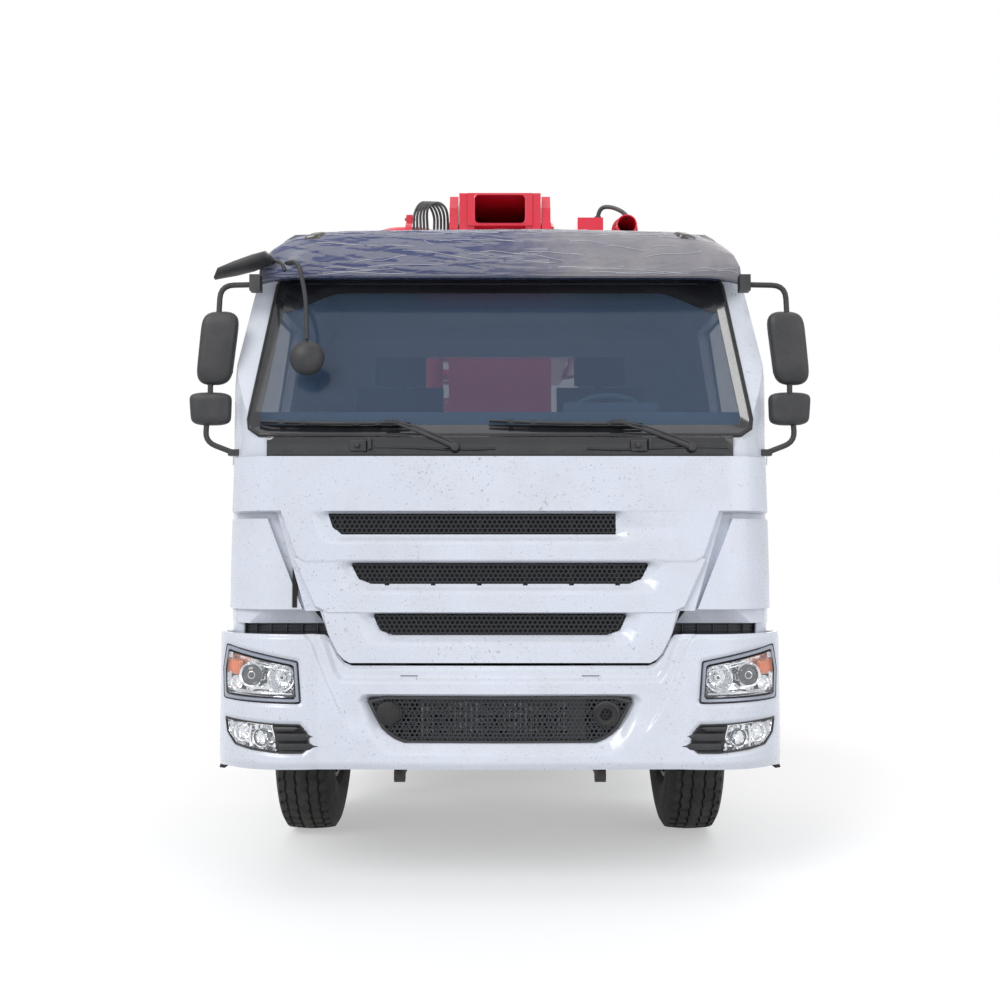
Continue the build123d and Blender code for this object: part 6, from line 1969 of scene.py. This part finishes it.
@dataclass
class Wheels:
    """Tyres with a cut tread in place of the plain casings, and the nuts of each wheel.

    Attributes:
        axles: Name, half track, place behind the bumper and shifts of the tyres on one side.
        steps: Steps around a tyre.
        blocks: Tread blocks around it.
        front_faces: How far the nuts' seat and the hub's face stand out of the middle, in front.
        rear_faces: The same on both rear axles.
        nuts: Nuts on a wheel.
        nut_circle: Radius of their circle.
        hub_bolts: Bolts of a hub.
        radius: Radius of the tread.
        groove: Depth of the grooves that run around.
    """

    axles: tuple[tuple[str, float, float, tuple[float, ...]], ...] = (
        ("front", 1.010, FRONT_AXLE, (0.0,)), ("middle", 0.930, FRONT_AXLE + 4.600, (0.172, -0.172)),
        ("rear", 0.930, FRONT_AXLE + 5.950, (0.172, -0.172)))
    steps: int = 264
    blocks: int = 44
    front_faces: Pair = (0.034, 0.085)
    rear_faces: Pair = (0.026, 0.160)
    nuts: int = 10
    nut_circle: float = 0.140
    hub_bolts: int = 8
    radius: float = 0.5395
    groove: float = 0.016

    def build(self) -> None:
        """Makes the wheels on each axle, on both sides."""
        for axle, x, b, shifts in self.axles:
            for side, hand in SIDES:
                body = f"wheel_{axle}_{hand}"
                tyre = Shape()
                for shift in shifts:
                    self.casing(tyre, side * (x + shift), at(b))
                piece = tyre.build(f"tread_{axle}_{hand}", body, PAINT.tyre, Slot.TYRE, smooth=32)
                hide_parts(f"tyre_{axle}_{hand}")
                face, hub = self.front_faces if axle == "front" else self.rear_faces
                nuts = Shape()
                for k in range(self.nuts):
                    a = math.tau * (k + 0.5) / self.nuts
                    y, z = at(b) + self.nut_circle * math.cos(a), AXLE_Z + self.nut_circle * math.sin(a)
                    start = side * (x + face)
                    nuts.turned([(0.023, -0.001), (0.023, 0.004), (0.016, 0.007)], (start, y, z),
                                (side, 0, 0), 20)
                    nuts.bolt((start + side * 0.004, y, z), (side, 0, 0), 0.0175, 0.022)
                    nuts.turned([(0.011, 0.0), (0.011, 0.036), (0.009, 0.039), (0.0, 0.039)], (start, y, z),
                                (side, 0, 0), 14)
                radius = 0.0885 if axle == "front" else 0.099
                for k in range(self.hub_bolts):
                    a = math.tau * k / self.hub_bolts
                    nuts.bolt((side * (x + hub), at(b) + radius * math.cos(a), AXLE_Z + radius * math.sin(a)),
                              (side, 0, 0), 0.0095, 0.008)
                valve = [(side * (x + face + out), at(b), AXLE_Z + up)
                         for out, up in ((0.01, 0.205), (0.05, 0.212), (0.075, 0.222))]
                nuts.tube(valve, 0.005, 8)
                nuts.build(f"nuts_{axle}_{hand}", body, PAINT.steel, Slot.STEEL, smooth=30)

    def casing(self, shape: Shape, x: float, y: float) -> None:
        """Adds one tyre as a ring whose crown is cut by grooves.

        The radius falls with the square of the distance from the middle. Round grooves follow a
        triangle wave, cross grooves are eased steps of the same turn, and the deepest cut counts.

        Args:
            shape: Shape that takes it.
            x: Middle of the tyre.
            y: Place of its axle.
        """
        side = np.array([(0.101, 0.262), (0.101, 0.272), (0.116, 0.287), (0.131, 0.306), (0.1335, 0.3095),
                         (0.135, 0.318), (0.1435, 0.345), (0.1485, 0.380), (0.1495, 0.405), (0.1485, 0.430),
                         (0.1475, 0.4345), (0.1455, 0.4375), (0.1425, 0.462), (0.138, 0.484), (0.1325, 0.504),
                         (0.127, 0.513), (0.1185, 0.5265)])
        half = np.array([(0.1165, 0), (0.0895, 0), (0.0881, 1), (0.0789, 1), (0.0775, 0),
                         (0.0365, 0), (0.0351, 1), (0.0269, 1), (0.0255, 0), (0.0120, 0)])
        crown = np.concatenate([half, [(0.0, 0)], half[::-1] * (-1, 1)])
        size = np.abs(crown[:, :1])
        turn = np.linspace(0, math.tau, self.steps, endpoint=False)
        phase = turn * self.blocks / math.tau
        wave = 2 * np.abs(phase % 1.0 - 0.5) - 0.5
        lateral = smooth_step(np.abs((phase + 0.25) % 1.0 - 0.5), 0.30, 0.36)
        cross = smooth_step(np.abs((phase + 0.60) % 1.0 - 0.5), 0.34, 0.40)
        px = crown[:, :1] + 0.0075 * wave * (size < 0.095)
        depth = np.maximum(self.groove * crown[:, 1:], np.where(size > 0.089, 0.013 * lateral, 0.0))
        depth = np.maximum(depth, np.where((size < 0.078) & (size > 0.025), 0.008 * cross, 0.0))
        radius = self.radius - 0.009 * (size / 0.1165) ** 2 - depth
        left = np.repeat(side[:, None, :], self.steps, 1)
        inner = np.array([(-0.079, 0.262), (-0.079, 0.270), (-0.126, 0.397), (-0.104, 0.494), (0.104, 0.494),
                          (0.126, 0.397), (0.079, 0.270), (0.079, 0.262)])
        rings_x = np.concatenate([left[..., 0], px, -left[::-1, :, 0],
                                  np.repeat(inner[:, :1], self.steps, 1)])
        rings_r = np.concatenate([left[..., 1], radius, left[::-1, :, 1],
                                  np.repeat(inner[:, 1:], self.steps, 1)])
        shape.grid(np.stack([x + rings_x, y + rings_r * np.cos(turn), AXLE_Z + rings_r * np.sin(turn)], -1),
                   wrap_u=True, wrap_v=True)


@dataclass
class Doors:
    """Side glass, rubber and handle cups of the cab's doors."""

    window: tuple[Pair, ...] = (
        (0.457, 2.012), (1.278, 2.012), (1.278, 2.683), (0.673, 2.683), (0.494, 2.077))

    @staticmethod
    def skin(z: float) -> float:
        """Half the cab's width at a height, in a straight line over it."""
        return 1.231 - 0.1425 * (z - 2.0)

    def build(self) -> None:
        """Makes both doors' pieces."""
        for side, hand in SIDES:
            pane = Shape()
            pane.prism([(side * (self.skin(z) - 0.022), at(b), z) for b, z in self.window],
                       (-side * 0.005, 0, 0))
            pane.build(f"door_glass_{hand}", f"door_{hand}", PAINT.glass, Slot.GLASS)
            seal = Shape()
            seal.tube([(side * (self.skin(z) - 0.006), at(b), z) for b, z in self.window], 0.0085,
                      10, closed=True)
            seal.box((side * 1.236, at(1.135), 1.792), (side * 1.2415, at(1.315), 1.884))
            seal.turned([(0.013, 0.0), (0.013, 0.004), (0.010, 0.006), (0.0, 0.006)],
                        (side * 1.2395, at(1.225), 1.765), (side, 0, 0), 20)
            seal.build(f"door_rubber_{hand}", f"door_{hand}", PAINT.rubber, Slot.BLACK)


@dataclass
class DeckWear:
    """Tread lozenges on the walkways, and doors, latches and caps on the boxes.

    Attributes:
        pitch: Distance from lozenge to lozenge.
        long_half: Half a lozenge's length.
        wide_half: Half its width.
        proud: Its height.
        ring: Points around a door.
        boxes: Side, both ends behind the bumper and top of each box.
    """

    pitch: float = 0.050
    long_half: float = 0.017
    wide_half: float = 0.0045
    proud: float = 0.0022
    ring: int = 64
    boxes: tuple[tuple[float, float, float, float], ...] = (
        (-1, 4.56, 5.56, 2.25), (1, 4.56, 5.76, 2.15), (-1, 5.70, 7.50, 1.90), (1, 6.00, 7.70, 1.86))

    def build(self) -> None:
        """Makes the tread, the box doors and the caps."""
        x, b = np.meshgrid(np.arange(0.465, 1.185, self.pitch), np.arange(4.475, 9.620, self.pitch),
                           indexing="ij")
        turned = (np.indices(x.shape).sum(0) % 2).ravel()
        reach_x = np.where(turned, self.long_half, self.wide_half)
        reach_y = np.where(turned, self.wide_half, self.long_half)
        for side, hand in SIDES:
            centre = np.stack([side * x.ravel(), at(b.ravel()), np.full(x.size, 1.4205)], -1)
            zero = np.zeros(x.size)
            corners = [np.stack([reach_x, zero, zero], -1), np.stack([zero, reach_y, zero], -1),
                       np.stack([-reach_x, zero, zero], -1), np.stack([zero, -reach_y, zero], -1),
                       np.stack([zero, zero, zero + self.proud], -1)]
            points = np.stack([centre + c for c in corners], 1).reshape(-1, 3)
            base = 5 * np.arange(x.size)[:, None]
            faces = np.concatenate([base + np.array(f) for f in ((0, 1, 4), (1, 2, 4), (2, 3, 4), (3, 0, 4))])
            floor = np.stack([base[:, 0] + i for i in (3, 2, 1, 0)], -1)
            tread = Shape()
            tread.add(points, [tuple(f) for f in faces] + [tuple(f) for f in floor])
            tread.build(f"walkway_tread_{hand}", "chassis", PAINT.plate, Slot.PLATE)
        doors, latches = Shape(), Shape()
        for side, start, end, top in self.boxes:
            count = 2 if end - start > 1.3 else 1
            width = (end - start) / count
            for k in range(count):
                low_b, high_b = start + k * width + 0.04, start + (k + 1) * width - 0.04
                door = Outline(((low_b, 1.47), (high_b, 1.47), (high_b, top - 0.05),
                                (low_b, top - 0.05)), 0.035)
                ring = door.ring(self.ring)
                inner = ring + (ring.mean(0) - ring) * 0.02
                loops = [np.stack([np.full(self.ring, side * face), at(p[:, 0]), p[:, 1]], -1)
                         for p, face in ((ring, 1.149), (ring, 1.158), (inner, 1.161))]
                doors.grid(np.stack(loops), wrap_v=True)
                doors.add(loops[2], [tuple(range(self.ring))])
                doors.add(loops[0], [tuple(range(self.ring))])
                for z in (1.60, top - 0.18):
                    doors.turned([(0.012, -0.04), (0.012, 0.04)], (side * 1.160, at(low_b + 0.012), z),
                                 (0, 0, 1), 12)
                latches.turned([(0.0, 0.0), (0.034, 0.0), (0.036, 0.003), (0.030, 0.006), (0.0, 0.006)],
                               (side * 1.1595, at(high_b - 0.07), (1.42 + top) / 2), (side, 0, 0), 28)
                latches.box((side * 1.165 - 0.003, at(high_b - 0.10), (1.42 + top) / 2 - 0.008),
                            (side * 1.165 + 0.003, at(high_b - 0.04), (1.42 + top) / 2 + 0.008))
        for x, b, z in ((-0.80, 4.95, 2.25), (0.80, 5.10, 2.15)):
            latches.turned([(0.075, 0.0), (0.075, 0.012), (0.052, 0.014), (0.052, 0.045), (0.046, 0.052),
                            (0.0, 0.052)],
                           (x, at(b), z - 0.001), (0, 0, 1), 36)
        for b in (2.72, 3.34):
            latches.box((RAIL_OUT, at(b), 1.0195), (1.1845, at(b + 0.06), 1.0245))
            latches.box((1.1795, at(b), 0.516), (1.1845, at(b + 0.06), 1.0245))
            latches.box((RAIL_OUT, at(b), 0.5155), (1.1845, at(b + 0.06), 0.5205))
        doors.build("box_doors", "chassis", PAINT.white_plain, Slot.WHITE, smooth=30)
        latches.build("latches_and_caps", "chassis", PAINT.steel, Slot.STEEL, smooth=30)


@dataclass
class Rear:
    """Tail lamp lenses, hopper ribs, the slewing ring's bolts and the outriggers' pin caps.

    Attributes:
        ribs: Places of the hopper's ribs behind the bumper.
        rib: (X, height) of a rib's corners.
        bolts: Bolts of the slewing ring.
        circle: Radius of their circle.
        posts: Place behind the bumper and X of each outrigger's pin.
        flutes: Steps across a lens.
    """

    ribs: tuple[float, ...] = (9.80, 10.10, 10.40)
    rib: tuple[Pair, ...] = (
        (0.566, 1.392), (0.756, 1.480), (0.745, 1.500), (0.752, 1.594), (0.760, 1.594), (0.760, 1.470),
        (0.572, 1.374))
    bolts: int = 28
    circle: float = 0.528
    posts: tuple[Pair, ...] = ((2.760, 0.800), (10.060, 0.830))
    flutes: int = 24

    def build(self) -> None:
        """Makes the pieces at the back and under the boom."""
        for colour, low, high in ((PAINT.tail, 0.806, 0.905), (PAINT.lens, 0.911, 0.975),
                                  (PAINT.amber, 0.981, 1.060), (PAINT.tail, 1.066, 1.144)):
            lens = Shape()
            for side, _ in SIDES:
                x = np.linspace(low, high, self.flutes) * side
                crown = 0.006 * np.sin(np.linspace(0, math.pi, self.flutes))
                crown += 0.0015 * np.abs(np.sin(np.arange(self.flutes) * 1.3))
                z = np.array([0.566, 0.580, 0.620, 0.660, 0.674])
                lift = np.array([0.0, 0.8, 1.0, 0.8, 0.0])
                face = at(10.7405) + lift[:, None] * (0.003 + crown)
                top = np.stack([np.broadcast_to(x, face.shape), face,
                                np.broadcast_to(z[:, None], face.shape)], -1)
                lens.grid(top)
                back = top.copy()
                back[..., 1] = at(10.7385)
                lens.grid(back)
            lens.build(f"tail_lens_{int(low * 1000)}", "chassis", colour, Slot.LENS)
        ribs = Shape()
        for side, _ in SIDES:
            for b in self.ribs:
                ribs.prism([(side * x, at(b), z) for x, z in self.rib], (0, 0.010, 0))
        ribs.build("hopper_ribs", "chassis", PAINT.grey, Slot.GREY)
        ring = Shape()
        for k in range(self.bolts):
            a = math.tau * (k + 0.5) / self.bolts
            ring.bolt((self.circle * math.cos(a), at(3.300) + self.circle * math.sin(a), 1.450), (0, 0, 1),
                      0.014, 0.014)
        ring.build("ring_bolts", "turret", PAINT.steel, Slot.STEEL, smooth=30)
        pins = Shape()
        for b, x in self.posts:
            for side, _ in SIDES:
                pins.turned([(0.062, 0.0), (0.062, 0.008), (0.050, 0.016), (0.020, 0.016),
                             (0.020, 0.024), (0, 0.024)],
                            (side * x, at(b), 1.370), (0, 0, 1), 32)
        pins.build("outrigger_pin_caps", "chassis", PAINT.steel, Slot.STEEL, smooth=30)


def dress_cad() -> None:
    """Gives every CAD node that stays visible its finish."""
    dress(PAINT.steel, "chassis_frame", "boom_rest", "mudguards", "rear_bar", "side_boxes")
    dress(PAINT.cast, "front_axle", "rear_axles", "engine_block", "knuckle_left", "knuckle_right")
    dress(PAINT.grey, "pedestal", "pump_unit", "hopper", "hopper_grate")
    dress(PAINT.plate, "deck", "fuel_tank")
    dress(PAINT.white, "front_bumper", "front_flap", "cab_shell", "door_left", "door_right")
    dress(PAINT.white_plain, "deck_tanks")
    dress(PAINT.mesh, "bumper_grille")
    dress(PAINT.lens, "lamps")
    dress(PAINT.glass, "cab_glass")
    dress(PAINT.gloss, "sun_visor")
    dress(PAINT.blue, "dashboard")
    dress(PAINT.seat, "seats")
    dress(PAINT.black, "mirrors", "wipers")
    dress(PAINT.red, "turret", "boom_1", "boom_2", "boom_3", "boom_4", "cylinder_1_barrel")
    dress(PAINT.bright, "cylinder_1_rod", "cylinder_2_rod", "cylinder_3_rod")
    for _, side in SIDES:
        dress(PAINT.red, f"outrigger_front_{side}", f"outrigger_rear_{side}")
        dress(PAINT.grey, f"leg_front_{side}", f"leg_rear_{side}")
        for axle in ("front", "middle", "rear"):
            dress(PAINT.tyre, f"tyre_{axle}_{side}")
            dress(PAINT.rim, f"rim_{axle}_{side}")


def main() -> None:
    """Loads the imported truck, dresses it and adds every scene piece."""
    logging.basicConfig(level=logging.INFO)
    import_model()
    Studio().build()
    Hoses().build()
    dress_cad()
    for part in PARTS:
        part().build()
        LOG.info("built %s", part.__name__)


PARTS = (FrontFlap, Bumper, LowerGrille, Lamps, FrontGaps, Windscreen, Visor, Mirrors, BoomHead, DeliveryLine,
         Wheels, Doors, DeckWear, Rear)

if __name__ == "__main__":
    main()
